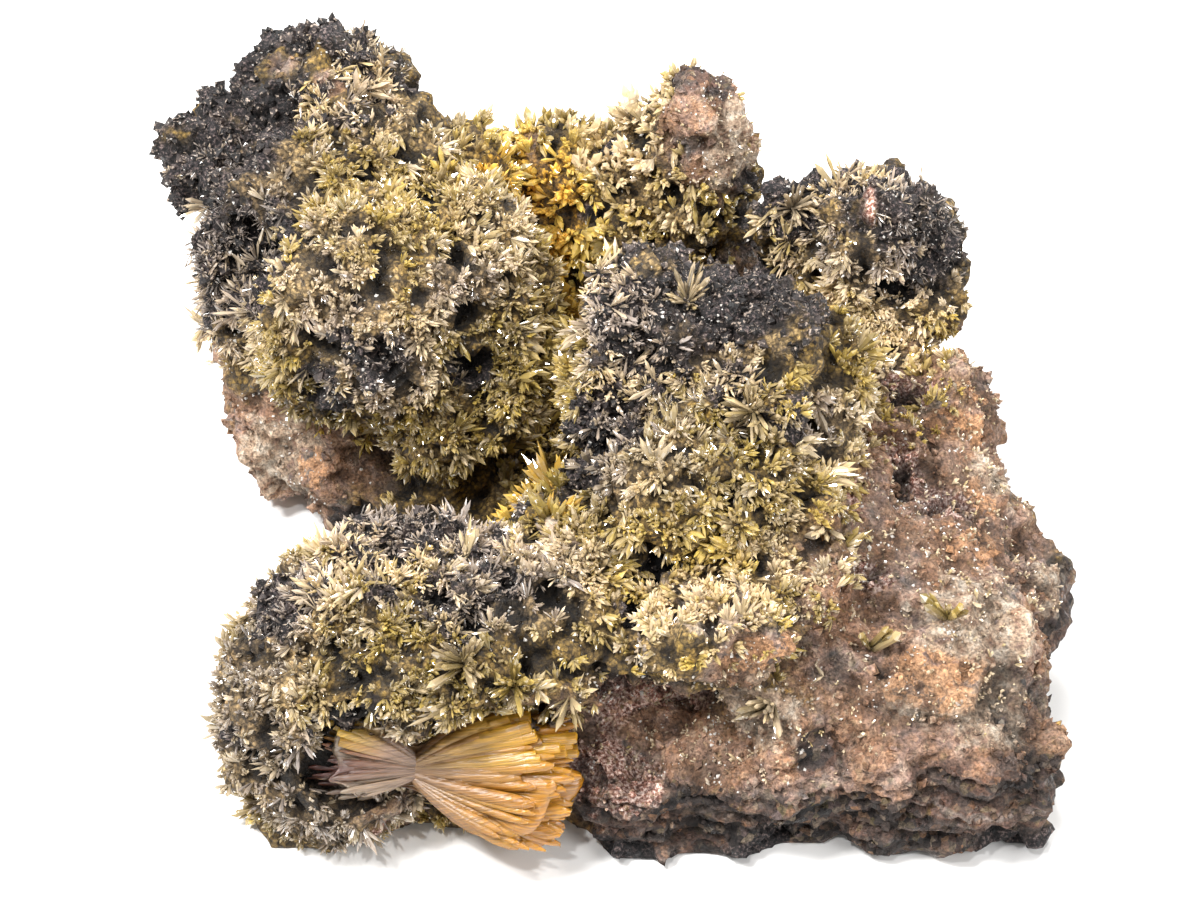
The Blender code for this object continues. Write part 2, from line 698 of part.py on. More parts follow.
def main():
    clear_scene()
    rock = rock_skin()
    right = fan_blades(RIGHT_FAN, RIGHT_LAYERS, 1)
    left = fan_blades(LEFT_FAN, LEFT_LAYERS, 5)
    beds = [hull_of(side, BED_GAP) for side in (right, left)]
    bed_trees = [BVHTree.FromBMesh(bed) for bed in beds]
    for bed in beds:
        rock = combined(rock, bed, "DIFFERENCE")
    sheaf = grown_together(right + left)
    sheaf_tree = BVHTree.FromBMesh(sheaf)
    nodes = [finished("mimetite_bow_tie_sheaf", sheaf, "amber")]
    rock.faces.index_update()
    rock.verts.index_update()
    bare = {face for face in rock.faces if any(on_surface(face, bed) for bed in bed_trees)}
    plates = fitted_crusts(rock, crust_patches(rock, bare), sheaf_tree)
    for name, plate in plates.items():
        nodes.append(finished(name, plate, CRUSTS[name][0]))
    nodes.append(finished("matrix_rock", rock, "rock"))
    for seed, name in enumerate(SPRAYS):
        nodes.append(standing_crystals(name, nodes, seed))


main()
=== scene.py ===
import math
import bmesh
import bpy
import numpy as np
from mathutils import Matrix, Vector, noise
from mathutils.bvhtree import BVHTree


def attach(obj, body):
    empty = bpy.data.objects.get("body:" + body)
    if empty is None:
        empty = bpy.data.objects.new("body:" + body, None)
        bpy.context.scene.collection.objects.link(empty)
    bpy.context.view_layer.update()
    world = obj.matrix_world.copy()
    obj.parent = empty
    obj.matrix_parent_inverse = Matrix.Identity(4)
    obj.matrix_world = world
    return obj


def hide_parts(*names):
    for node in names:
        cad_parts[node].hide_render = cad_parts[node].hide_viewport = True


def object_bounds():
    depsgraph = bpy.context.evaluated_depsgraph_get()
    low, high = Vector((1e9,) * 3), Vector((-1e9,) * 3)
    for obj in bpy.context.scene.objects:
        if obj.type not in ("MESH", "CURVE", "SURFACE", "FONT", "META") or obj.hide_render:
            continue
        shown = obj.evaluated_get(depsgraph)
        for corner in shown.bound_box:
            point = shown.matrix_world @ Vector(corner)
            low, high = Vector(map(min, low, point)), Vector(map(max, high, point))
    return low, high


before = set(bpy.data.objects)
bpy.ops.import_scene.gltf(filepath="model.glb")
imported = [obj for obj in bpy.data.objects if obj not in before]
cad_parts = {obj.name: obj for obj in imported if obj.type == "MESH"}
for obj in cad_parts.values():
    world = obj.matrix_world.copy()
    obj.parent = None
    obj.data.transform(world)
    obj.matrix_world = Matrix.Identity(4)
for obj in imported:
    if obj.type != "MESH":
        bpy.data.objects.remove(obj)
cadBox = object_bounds()
mm = 0.001  # the tables below are in millimetres


# small helpers

def toLinear(hexText):  # sRGB hex to the linear colour that a shader takes
    parts = [int(hexText[i:i + 2], 16) / 255 for i in (1, 3, 5)]
    return [c / 12.92 if c <= 0.04045 else ((c + 0.055) / 1.055) ** 2.4 for c in parts] + [1.0]


def noiseAt(points, size, seed):  # smooth noise from about -1 to 1, with lumps of this size in mm
    shift = Vector((seed * 7.3, seed * 3.1, seed * 5.7))
    return np.array([noise.noise(Vector(p) / size + shift) for p in points])


def smooth(low, high, values):
    t = np.clip((values - low) / (high - low), 0, 1)
    return t * t * (3 - 2 * t)


def inBlobs(points, blobs, edge=0.25, wander=0.3, grain=2.2, seed=1):  # 1 inside the blobs, 0 outside, soft edge
    nearest = np.full(len(points), 9.0)
    for blob in np.array(blobs, dtype=float):
        away = np.sqrt((((points - blob[:3]) / blob[3:]) ** 2).sum(1))
        nearest = np.minimum(nearest, away)
    rough = noiseAt(points, grain, seed) + 0.6 * noiseAt(points, grain * 0.4, seed + 50)
    return 1 - smooth(1 - edge, 1 + edge, nearest + wander * rough)


def addPiece(name, mesh, nodes, material):  # a finished piece of the object
    piece = bpy.data.objects.new(name, mesh)
    bpy.context.scene.collection.objects.link(piece)
    mesh.materials.clear()
    mesh.materials.append(material)
    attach(piece, "root")
    if nodes:
        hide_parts(*nodes)


def weldedCopy(nodeName):  # the node's own shape with its loose triangles joined up
    bm = bmesh.new()
    bm.from_mesh(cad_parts[nodeName].data)
    bmesh.ops.remove_doubles(bm, verts=bm.verts, dist=0.001 * mm)
    bm.normal_update()
    return bm


def meshFrom(bm, name):  # ends the bmesh as a mesh of this name
    mesh = bpy.data.meshes.new(name)
    bm.to_mesh(mesh)
    bm.free()
    return mesh


def treeOf(bm):  # ends the bmesh as a tree for nearest points and rays
    tree = BVHTree.FromBMesh(bm)
    bm.free()
    return tree


def settled(bm, times):  # smooths every corner a few times
    for _ in range(times):
        bmesh.ops.smooth_vert(bm, verts=bm.verts, factor=0.5, use_axis_x=True, use_axis_y=True, use_axis_z=True)
    bm.normal_update()


def writeColours(mesh, name, channels):  # one number from 0 to 1 a point in each channel
    layer = mesh.color_attributes.new(name, "FLOAT_COLOR", "POINT")
    values = np.stack(channels, axis=1).astype(np.float32)
    layer.data.foreach_set("color", values.ravel())


# what lies where on the rock: soft-edged blobs, each a centre x, y, z and its half sizes in mm

stains = {
    "black": [
        (-31, 29, 38, 11, 8, 7), (-27, 17, 31.5, 4.6, 4, 4), (-28, 12, 29, 3.2, 3, 3.4), (-39, 25, 30, 7, 8, 7),
        (-39, 17, 26, 4.6, 8, 10), (-31, 21, 34, 5, 4, 4), (-33.4, 16.5, 28.5, 4.6, 4.6, 4.6),
        (-35.5, 14, 24, 2.6, 3, 3), (-30, 10, 30, 4, 7, 6), (-24, 25, 38, 4, 4, 3),
        (-20.3, -0.7, 28.5, 3, 2.8, 2.6), (-13.3, 3.1, 24.8, 2.6, 2.4, 2.4), (-24.2, -0.7, 29.7, 2.6, 2.2, 2),
        (-25.5, 1, 24, 3, 3, 3), (-9.5, 9, 15, 3.6, 3, 2.4), (-17, 12, 33, 2, 2, 1.6), (-12, 8, 30, 1.8, 1.8, 1.6),
        (-0.9, 32.2, 27, 1.3, 1.3, 1.3), (-2.5, 27, 23, 1.8, 1.8, 1.8), (2.8, 30.6, 34, 1.6, 1.6, 1.4),
        (15.8, 19, 31, 4.4, 4.4, 4.6), (23.5, 16.5, 33, 5.4, 5.6, 5), (28, 15.5, 30, 4, 5, 5),
        (24.6, 12.3, 26, 2.6, 2.2, 1.8), (9.5, -0.5, 35, 8.5, 6, 4.6), (0.3, -2, 35.5, 4.8, 6.4, 4.8),
        (1.2, -6, 31.5, 4.4, 4.4, 4), (-2.4, -9, 27, 4.6, 4.4, 5), (9, -8, 31.5, 3.4, 2.6, 2.4),
        (13.4, -10.1, 30, 2.8, 2.5, 2.4), (-4.6, -12, 22.5, 2.4, 2, 2.4), (3.1, -19, 21, 1.8, 1.7, 1.6),
        (1, -22.3, 20, 1.5, 1.5, 1.5), (-16.1, -14, 21.4, 9, 4.4, 3), (-22.5, -19.3, 20.8, 6.4, 4.4, 3.4),
        (-28, -20.3, 18, 4.4, 4, 3.8), (-14.6, -21.5, 20.4, 3, 2.6, 2.2), (-23.8, -29.5, 14, 2.8, 2.2, 1.6),
        (-10, -20.5, 21.5, 2.6, 2, 1.8), (-12.4, -24.7, 20.1, 2.4, 2.4, 2), (-31, -27, 11, 2.2, 3, 2.6),
        (-18, -29, 15, 3.2, 2.4, 1.8), (0.7, -31, 1, 4, 3, 1.6), (11.5, -31, 1, 4, 3, 1.6),
        (33, -30.5, 1, 5, 3, 1.8), (-30, 33, 30, 12, 8, 14), (20, 24, 22, 12, 8, 12),
    ],
    "orange": [
        (-28.8, 7, 9.2, 2, 2, 1.7), (11, -27.2, 19.4, 3.6, 2.8, 2.2), (32.6, 7, 18.6, 1.8, 2.2, 2),
        (31.8, 3.4, 16.4, 2.4, 2.2, 1.6), (31.8, -10.8, 16.4, 2.2, 3, 2), (26, -25.5, 15, 5, 3, 2),
        (32, -5, 17, 2, 2.4, 1.6), (-23, 4.5, 2.5, 2, 2, 2), (5, 37, 10, 4, 2, 3), (28, -11, 17, 2.6, 2, 1.6),
        (29, 3, 18, 2, 2, 1.6),
    ],
    "milky": [
        (29.5, -19.5, 16, 6, 5, 3.4), (31, -26, 13, 5, 4, 4), (33, -1.5, 15, 3, 3, 3), (-5, -18, 22.8, 3.6, 3.2, 2),
        (7, -23.5, 21, 5, 3.4, 3), (25, -26, 14, 4, 3, 2), (11, -27.5, 13, 4, 3, 3), (10.5, 28, 30, 3, 4, 5),
        (38.5, -10.5, 13, 2.6, 5, 3.4), (12.5, -27.5, 17.5, 2.6, 2.2, 2), (-30, 8.5, 14, 2.4, 2.2, 2),
        (-32, 9, 8, 5, 4, 5),
    ],
    "maroon": [
        (-32.2, 16, 28.7, 2.6, 2.4, 2.2), (-1, -29, 7, 4.4, 3.4, 3.6), (2, -23, 10.5, 5, 4, 2.4),
        (-18.5, -31, 1.5, 3, 3, 2), (-12, -31.5, 1, 2.4, 3, 1.6), (-9.5, 2, 12, 2, 2, 2),
        (22.2, 14, 33, 1.6, 1.6, 1.4), (25.5, 5.5, 19.6, 3, 2.4, 1.6), (24.4, -3, 18.6, 2.4, 5, 1.6),
        (21, -16.5, 18.6, 2.2, 2.4, 1.4), (19, -8, 21, 1.6, 4, 2), (28, -7, 18.2, 3.4, 2.4, 1.6),
    ],
    "grey": [
        (14, -31.5, 3.6, 26, 4.5, 4.6), (31, -31, 6.6, 9.5, 4.5, 4.4), (38, -20, 4, 4, 10, 4),
        (38.5, -10, 7, 3.6, 7, 4), (7.5, 32, 35, 3.4, 3.6, 2.6), (-25.3, 5, 3.5, 2.6, 2.6, 2.4),
        (-20, -30.5, 16.6, 2, 2, 2), (16, -29.5, 10.5, 2.4, 3, 2),
    ],
}
palePatches = [  # rock that shows through the black
    (-31.6, 27.5, 40, 2.6, 2.2, 1.8), (-27.4, 28, 39.6, 1.2, 2.4, 1.2), (-25.6, 25.4, 37.8, 0.9, 2.6, 1.2),
    (-22.5, 24.5, 37, 1.8, 1.6, 1.4), (-40, 27, 32, 1.4, 1.2, 1), (-35, 24, 35, 1.3, 1.3, 1),
    (2.2, 0.6, 38, 1.5, 1.3, 1), (21.6, 13.6, 33.6, 1.3, 1.3, 1.1), (-38.6, 20, 24, 1.4, 2, 1.8),
]
cavities = [  # deep gaps among the crystals, darkened with painted shade
    (-20.5, -0.5, 28.5, 1.7, 1.5, 1.6), (-13.3, 3.1, 25, 1.6, 1.6, 1.6), (-24.5, 0, 28.5, 1.4, 1.2, 1.4),
    (-26, 2, 24, 1.5, 1.5, 1.5), (-9.5, 9, 15, 2.4, 2.2, 1.6), (-7.5, 4, 17, 2, 2, 2), (-17.4, 12, 33, 1.1, 1.2, 1),
    (-12.2, 8.5, 30, 1.1, 1.1, 1), (-22, 12, 33, 1, 1, 1), (-32.2, 16, 28.7, 1.8, 1.6, 1.6),
    (-1, -9.5, 26, 1.6, 1.6, 2), (-4.6, -12, 22.5, 1.7, 1.5, 1.6), (3.1, -19, 21, 1.5, 1.4, 1.4),
    (1, -22.2, 20, 1.2, 1.3, 1.3), (9.5, -9, 31, 1.6, 1.3, 1.3), (15.5, -8.5, 28.5, 1.3, 1.2, 1.2),
    (24.6, 12.3, 26, 1.8, 1.6, 1.3), (19.5, 15, 29.5, 1.4, 1.4, 1.4), (-14.6, -21.5, 20.4, 1.8, 1.5, 1.4),
    (-12.2, -24.7, 20, 1.5, 1.4, 1.3), (-9.5, -21, 21.4, 1.4, 1.2, 1.2), (-19.5, -17.5, 21.3, 1.5, 1.2, 1.2),
    (-23.8, -29.3, 14.2, 1.7, 1.4, 1.2), (-28, -24.5, 16.5, 1.3, 1.3, 1.3), (-8, -27.5, 18, 1.3, 1.2, 1.2),
    (-18, -29.5, 15.4, 2.2, 1.4, 1.2), (-2.5, 27, 23, 1.3, 1.3, 1.3), (-4, 19.5, 16, 1.8, 1.8, 1.8),
    (25.5, 5.5, 19.6, 1.6, 1.4, 1), (21.3, -16.3, 18.6, 1.2, 1.2, 0.9), (-0.5, -24.5, 13.5, 4.2, 3, 3),
    (5.4, -24.5, 12.5, 3.2, 2.2, 2), (24, -5, 18.7, 1.2, 2.4, 0.9), (17.5, -1.5, 22.5, 1, 2, 1),
    (29, -7, 18.2, 1.8, 1, 0.9), (26.8, -8.3, 18.3, 1.2, 0.9, 0.9), (28, 0.5, 18.6, 1.2, 1, 0.9),
    (-22, -30, 15.5, 2, 1.4, 1), (-16.5, -24, 20.2, 1.6, 1, 1), (-13.9, -28, 18, 1.8, 1.2, 1),
    (-23.5, -25, 18.5, 1.3, 1, 1), (-9.3, -23.3, 21, 1.3, 1.1, 1), (-26, -30.5, 11.5, 1.3, 1.2, 1.5),
    (-15, -30.5, 14.5, 1.5, 1, 1), (-30, 13, 22, 1.3, 1.3, 1.3), (-27, 18, 30, 1, 1.2, 1),
    (-30.5, 22, 33, 1.2, 1.2, 1),
]
bareRock = [  # the broad bare stretches, where little but rock shows
    (26, -14, 14, 15, 26, 11), (12, -31, 8, 30, 6, 9), (-31, 9, 7, 9, 9, 9), (10.8, -27.3, 18.5, 4.6, 3.4, 3.4),
    (1, -27, 9.5, 10, 7, 6), (3, -24, 12.5, 8, 4, 2.6), (32, 8, 12, 6, 14, 9), (9.5, 29, 33.5, 6.4, 6, 8),
    (-35, 22, 12, 6, 9, 10), (-31.2, 27.5, 40, 1.7, 1.6, 1.4), (-26.4, 26, 38.6, 1.5, 1.2, 1.2),
    (2, 42, 12, 30, 8, 14), (24, 27, 8, 20, 9, 12), (-24, 36, 12, 22, 8, 17), (-41, 22, 12, 6, 14, 12),
    (2, 30, 0, 40, 16, 5), (34, 10, 2, 8, 20, 6),
]
cracks = [((21.6, -25, 15.2), (20.6, -23.8, 15.3)), ((20.6, -23.8, 15.3), (19.4, -22.4, 15.8))]   # ends in mm


# the ground: rock and crusts as one skin. In the rows size and height are in mm, and the last number is the seed

ground = {
    "crustPuff": 0.3,        # mm that the crust solids swell, so that they join the rock
    "voxel": 0.55,           # mm, edge of the faces of the skin
    "lumps": ((6.5, 0.7, 2), (4.0, 0.6, 3), (2.2, 0.6, 5), (1.3, 0.5, 8), (0.8, 0.24, 9)),
    "pits": (2.1, 2.2, 21),  # among the crystals
    "knobs": ((2.1, 1.1, 4), (1.05, 0.55, 7)),                      # of the black crust
    "blackBlocks": (2.4, 0.8, 14),
    "chunks": ((5.6, 1.1, 12), (2.3, 0.4, 11), (1.15, 0.26, 13)),   # broken blocks of the bare rock
    "bedThickness": 1.35, "bedHeight": 0.75,                        # the thin beds along the front
    "bedWaves": ((6, 0.9, 31), (1.6, 0.35, 32)),
    "bedFade": (9, 13), "bedBack": (-24, -14),                      # z over which they end, and y over which they fade
    "crackDepth": 0.9, "cavityDepth": 1.9,
    "clearance": 1.1,        # mm kept between the rough rock and the groups that stand out
    "pressed": 0.45,         # mm that the rock is drawn in round them
    "sheafReach": (17, -16, 26),   # mm from the waist, furthest y and highest z where the rock may hide the sheaf
}


def fusedSkin():
    bm = weldedCopy("matrix_rock")
    for name in [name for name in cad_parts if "_crust_" in name]:
        coat = weldedCopy(name)
        for v in coat.verts:
            v.co += v.normal * ground["crustPuff"] * mm
        scratch = meshFrom(coat, "scratch")
        bm.from_mesh(scratch)
        bpy.data.meshes.remove(scratch)
    skin = bpy.data.objects.new("skin", meshFrom(bm, "skin"))
    bpy.context.scene.collection.objects.link(skin)
    fuse = skin.modifiers.new("fuse", "REMESH")
    fuse.mode = "VOXEL"
    fuse.voxel_size = ground["voxel"] * mm
    ease = skin.modifiers.new("ease", "SMOOTH")
    ease.iterations = 2
    graph = bpy.context.evaluated_depsgraph_get()
    mesh = bpy.data.meshes.new_from_object(skin.evaluated_get(graph))
    bpy.data.objects.remove(skin)
    return mesh


def readPoints(mesh, what):
    values = np.empty(len(mesh.vertices) * 3)
    mesh.vertices.foreach_get(what, values)
    return values.reshape(-1, 3)


def knobsAt(points, size, seed):  # round-topped knobs with creases between them
    shift = Vector((seed, 0, 0))
    away = np.array([noise.voronoi(Vector(p) / size + shift)[0][0] for p in points])
    return 1 - 2.2 * away ** 2


def chunksAt(points, size, seed):  # flat-topped blocks at random heights with cracks between them
    crackWidth = 0.22  # as a share of the size
    shift = Vector((seed, seed * 2, 0))
    heights = np.empty(len(points))
    for k, p in enumerate(points):
        away, seeds = noise.voronoi(Vector(p) / size + shift)
        crack = min((away[1] - away[0]) / crackWidth, 1)
        heights[k] = (noise.cell(seeds[0] * 37) - 0.1) * crack + 0.3 * crack - 0.3
    return heights


def roomOver(points, trees, reach):  # mm from each point to the nearest of the solids, up to the reach
    room = np.full(len(points), reach)
    for k, p in enumerate(points):
        for tree in trees:
            hit = tree.find_nearest(Vector(p) * mm, reach * mm)
            if hit[0] is not None:
                room[k] = min(room[k], hit[3] / mm)
    return room


def alongCracks(points):  # 1 in the thin cracks, which are darkened with painted shade
    nearest = np.full(len(points), 9.0)
    for start, end in np.array(cracks):
        share = np.clip((points - start) @ (end - start) / ((end - start) @ (end - start)), 0, 1)
        nearest = np.minimum(nearest, np.linalg.norm(points - start - share[:, None] * (end - start), axis=1))
    return 1 - smooth(0.3, 0.75, nearest)


def zonesAt(points):
    masks = {name: inBlobs(points, blobs, seed=k + 1) for k, (name, blobs) in enumerate(stains.items())}
    masks["black"] *= 1 - inBlobs(points, palePatches, seed=19)
    masks["bare"] = np.clip(inBlobs(points, bareRock, grain=4, seed=9) + masks["orange"], 0, 1)
    return masks


def writeZones(mesh, masks, hollow, relief, repeats=1):
    zones = dict(masks, hollow=hollow, relief=relief)
    for name, parts in (("stain", "black orange milky maroon"), ("cast", "grey bare hollow relief")):
        writeColours(mesh, name, [np.repeat(zones[part], repeats) for part in parts.split()])


def uncover(points, solid):  # draws back the rock that would hide the sheaf from the front
    back = -sheafAxes()[2]
    beside, furthest, highest = ground["sheafReach"]
    for k, p in enumerate(points):
        if abs(p[0] - sheaf["waist"][0]) > beside or p[1] > furthest or p[2] > highest:
            continue
        start = Vector(p) * mm
        hit = solid.ray_cast(start - back * 1.2 * mm, back, 6.5 * mm)[0]   # a little before and behind the point
        if hit is not None:
            points[k] = (hit + back * 0.7 * mm) / mm
    return points


def shapeGround(mesh, solids):  # roughens the skin and gives back how much painted shade each point gets in the hollows
    points = readPoints(mesh, "co") / mm
    normals = readPoints(mesh, "normal")
    masks = zonesAt(points)
    black, bare = masks["black"], masks["bare"]
    slope = bare * (1 - 0.7 * black)
    rise = sum(height * noiseAt(points, size, seed) * (1 - 0.5 * slope * (size < 3))
               for size, height, seed in ground["lumps"])
    size, depth, seed = ground["pits"]
    pits = np.clip(noiseAt(points, size, seed) - 0.04, 0, 1) * (1 - bare) * (1 - 0.7 * black)
    rise -= depth * pits
    for size, height, seed in ground["knobs"]:
        rise += height * black * knobsAt(points, size, seed)
    size, height, seed = ground["blackBlocks"]
    rise += black * (height * chunksAt(points, size, seed) - 0.5)
    for size, height, seed in ground["chunks"]:
        rise += height * slope * chunksAt(points, size, seed)
    level = points[:, 2]   # the thin beds step in and out along the foot of the bare front
    for size, height, seed in ground["bedWaves"]:
        level = level + height * noiseAt(points, size, seed)
    steps = np.abs((level / ground["bedThickness"] % 1) - 0.5) * 2
    upright = 1 - smooth(0.4, 0.85, np.abs(normals[:, 2]))
    low = 1 - smooth(*ground["bedFade"], points[:, 2])
    fore = 1 - 0.85 * smooth(*ground["bedBack"], points[:, 1])
    rise += ground["bedHeight"] * (smooth(0.15, 0.5, steps) - 0.7) * upright * low * bare * fore
    crack = alongCracks(points)
    deep = inBlobs(points, cavities, edge=0.3, wander=0.35, grain=1.4, seed=23)
    rise -= ground["crackDepth"] * crack + ground["cavityDepth"] * deep
    room = roomOver(points, solids, 2.6)   # the ground stays low round the groups that stand out
    rise = np.where(rise > 0, rise * smooth(0.3, 2.4, room), rise)
    rise -= ground["pressed"] * (1 - smooth(0.4, ground["clearance"], room))
    sole = smooth(0.1, 1.2, points[:, 2])   # and flat at the sole
    points += normals * (rise * sole)[:, None]
    points = uncover(points, solids[0])
    points[:, 2] = np.maximum(points[:, 2], 0)
    mesh.vertices.foreach_set("co", (points * mm).astype(np.float32).ravel())
    mesh.update()
    # painted shade: darkest in the pits, cracks and cavities and next to the groups that stand out
    hollow = np.maximum.reduce([smooth(0.02, 0.3, pits), 1 - smooth(0.15, 0.8, room), crack, deep])
    # the ground's height, kept so the rock colour gets painted shade in the lows and painted light on the highs
    writeZones(mesh, masks, hollow, np.clip(0.5 + (rise - np.median(rise)) / 2.2, 0, 1))
    hue = hueAt(points)
    writeColours(mesh, "tint", [hue] + [np.full(len(points), 0.5)] * 3)
    mesh.polygons.foreach_set("use_smooth", np.ones(len(mesh.polygons), dtype=bool))
    return hollow


def surveyGround(mesh, hollowShades):  # what the scatter needs to know of the skin
    mesh.calc_loop_triangles()
    corners = np.empty(len(mesh.loop_triangles) * 3, dtype=np.int32)
    mesh.loop_triangles.foreach_get("vertices", corners)
    corners = corners.reshape(-1, 3)
    spots = (readPoints(mesh, "co") / mm)[corners]
    areas = np.linalg.norm(np.cross(spots[:, 1] - spots[:, 0], spots[:, 2] - spots[:, 0]), axis=1) / 2
    centres = spots.mean(1)
    masks = zonesAt(centres)
    return {"spots": spots, "normals": readPoints(mesh, "normal")[corners], "areas": areas, "centres": centres,
            "black": masks["black"], "bare": masks["bare"], "hollow": hollowShades[corners].mean(1)}


# scatter

def chooseSpots(survey, weight, count, rng):
    weight = weight * survey["areas"]
    chosen = rng.choice(len(weight), size=count, p=weight / weight.sum())
    a, b = rng.random(count), rng.random(count)
    flip = a + b > 1
    a[flip], b[flip] = 1 - a[flip], 1 - b[flip]
    shares = np.stack([1 - a - b, a, b], axis=1)[:, :, None]
    spots = (survey["spots"][chosen] * shares).sum(1)
    return spots, unit((survey["normals"][chosen] * shares).sum(1))


crystalForms = {  # sides, then the height and radius of each ring of corners between the two pointed ends
    "prism": (6, ((0.12, 0.34), (0.84, 0.5))), "spindle": (5, ((0.8, 0.5),)),
    "needle": (4, ((0.8, 0.5),)), "grain": (4, ((0.5, 0.5),)),
}


def crystalTemplate(kind):  # a crystal one unit long and wide, narrow at its foot
    bm = bmesh.new()
    sides, levels = crystalForms[kind]
    foot = bm.verts.new((0, 0, 0))
    ring = []
    for height, radius in levels:
        made = bmesh.ops.create_circle(bm, segments=sides, radius=radius)["verts"]
        bmesh.ops.translate(bm, vec=(0, 0, height), verts=made)
        if ring:
            edges = [e for e in bm.edges if e.verts[0] in ring + made and e.verts[1] in ring + made]
            bmesh.ops.bridge_loops(bm, edges=edges)
        ring = made
    tip = bm.verts.new((0, 0, 1))
    for end, height in ((foot, levels[0][0]), (tip, levels[-1][0])):
        for edge in [e for e in bm.edges if all(abs(v.co.z - height) < 1e-6 for v in e.verts)]:
            bm.faces.new((edge.verts[0], edge.verts[1], end))
    bmesh.ops.recalc_face_normals(bm, faces=bm.faces)
    bm.verts.index_update()
    return bm


def joinedMesh(name, kind, places, axes, tints):  # many crystals of a kind as one mesh
    template = crystalTemplate(kind)
    shape = np.array([v.co for v in template.verts])
    loops = [[v.index for v in f.verts] for f in template.faces]
    template.free()
    corners = np.concatenate(loops)
    count = len(places)
    points = np.einsum("vk,nkj->nvj", shape, axes) + places[:, None, :]
    mesh = bpy.data.meshes.new(name)
    mesh.vertices.add(count * len(shape))
    mesh.loops.add(count * len(corners))
    mesh.polygons.add(count * len(loops))
    mesh.vertices.foreach_set("co", (points * mm).astype(np.float32).ravel())
    offsets = np.arange(count)[:, None] * len(shape)
    mesh.loops.foreach_set("vertex_index", (corners[None] + offsets).astype(np.int32).ravel())
    totals = np.tile([len(f) for f in loops], count)
    mesh.polygons.foreach_set("loop_start", (np.cumsum(totals) - totals).astype(np.int32))
    mesh.polygons.foreach_set("use_smooth", np.zeros(len(totals), dtype=bool))
    mesh.update(calc_edges=True)
    along = np.tile(np.clip(shape[:, 2], 0, 1), count)
    hue, shade, chance = (np.repeat(tints[:, k], len(shape)) for k in range(3))
    writeColours(mesh, "tint", [hue, shade, along, chance])
    return mesh


def unit(vectors):
    return vectors / np.linalg.norm(vectors, axis=-1, keepdims=True)


def aroundAxes(directions, spins):  # two directions square to each one, turned by its spin
    helper = np.where(np.abs(directions[:, 2:3]) < 0.9, [[0.0, 0.0, 1.0]], [[1.0, 0.0, 0.0]])
    first = unit(np.cross(directions, helper))
    second = np.cross(directions, first)
    c, s = np.cos(spins)[:, None], np.sin(spins)[:, None]
    return first * c + second * s, second * c - first * s


def crossAxes(directions, spins, widths, depths, lengths):  # the crystals' own three axes
    sideA, sideB = aroundAxes(directions, spins)
    return np.stack([sideA * widths[:, None], sideB * depths[:, None], directions * lengths[:, None]], axis=1)


def spinsFor(count, rng):
    return rng.random(count) * 2 * math.pi


tones = {  # where the crystals turn golden, dusty or pale; olive yellow elsewhere
    "golden": [
        (-7, 29.5, 22, 6, 6, 6), (-6, 22, 12, 5, 8, 5), (-5.2, -15.6, 22, 4, 4, 3), (-7, -10, 19, 4, 5, 4),
        (-1, 15, 24, 3, 8, 5), (-12, 24, 30, 3, 3, 3),
    ],
    "dusty": [
        (-24, 6, 31, 5.5, 7, 5), (-17, -13.5, 21, 10, 4.4, 3.4), (-30, -25, 12, 5, 8, 9), (25, 14, 29, 8, 6, 5),
        (5, -3, 35, 9, 6, 4), (-14, 4, 32, 4, 4, 3), (-33, 18, 28, 7, 10, 10), (-20, -0.7, 28, 5, 4, 5),
        (-1, -9, 26, 4, 4, 4), (16, -8, 28, 4, 4, 3), (-9, -21, 21, 6, 4, 3), (-28, -20, 18, 5, 5, 5),
        (-3, -12, 27, 5, 5, 3), (-24, -31, 8, 8, 4, 7),
    ],
    "pale": [
        (6, -23.5, 21, 6, 4, 3.4), (-21, 24, 36, 5, 5, 4), (3, -14, 29, 5, 4, 2.4), (2, 31, 28, 6, 5, 6),
        (-5, -19, 23, 4, 3.4, 3), (-10.5, 11, 32, 5, 7, 4), (23, 8, 22, 5, 5, 4), (19, -4, 24, 4, 5, 4),
        (15, -18, 22, 4, 4, 3),
    ],
}
toneLooks = {  # hue, strength, width of the edge and seed
    "golden": (0.95, 1.0, 0.4, 52), "pale": (0.38, 0.8, 0.4, 53), "dusty": (0.1, 0.8, 0.45, 54),
}
paintedLight = [  # where the crystals are brighter: painted light
    (-7, 29.5, 22, 7, 8, 8), (3, 31, 28, 8, 6, 7), (0.5, 27, 29, 7, 6, 7), (5, -22, 21, 7, 5, 4),
    (24, 9, 23, 8, 7, 5),
]
# where the crystals are darker: painted shade
paintedShade = [
    (-17, -25, 18, 10, 6, 5), (-29, -25, 12, 6, 10, 10), (-3, -11, 24, 6, 6, 6), (6, -11, 29, 8, 5, 4),
    (-26, 1, 20, 6, 5, 6), (-13, 4, 24, 4, 8, 6), (-33, 18, 29, 9, 9, 8), (-22, -30, 8, 10, 6, 8),
]


def toneAt(points, name):  # 1 where the crystals have this tone
    return inBlobs(points, tones[name], edge=toneLooks[name][2], seed=toneLooks[name][3])


def hueAt(points):  # 0 dusty, 0.3 pale, 0.6 olive, 0.8 yellow, 1 golden
    hue = 0.6 + 0.15 * noiseAt(points, 3, 51)
    for name, (goal, strength, _, _) in toneLooks.items():
        hue += (goal - hue) * strength * toneAt(points, name)
    return np.clip(hue, 0, 1)


def sizeAt(points):  # finer crystals where they are dusty, larger ones where they are golden
    size = np.exp(0.28 * noiseAt(points, 4.5, 71))
    return size * (1 - 0.2 * toneAt(points, "dusty")) * (1 + 0.3 * toneAt(points, "golden"))


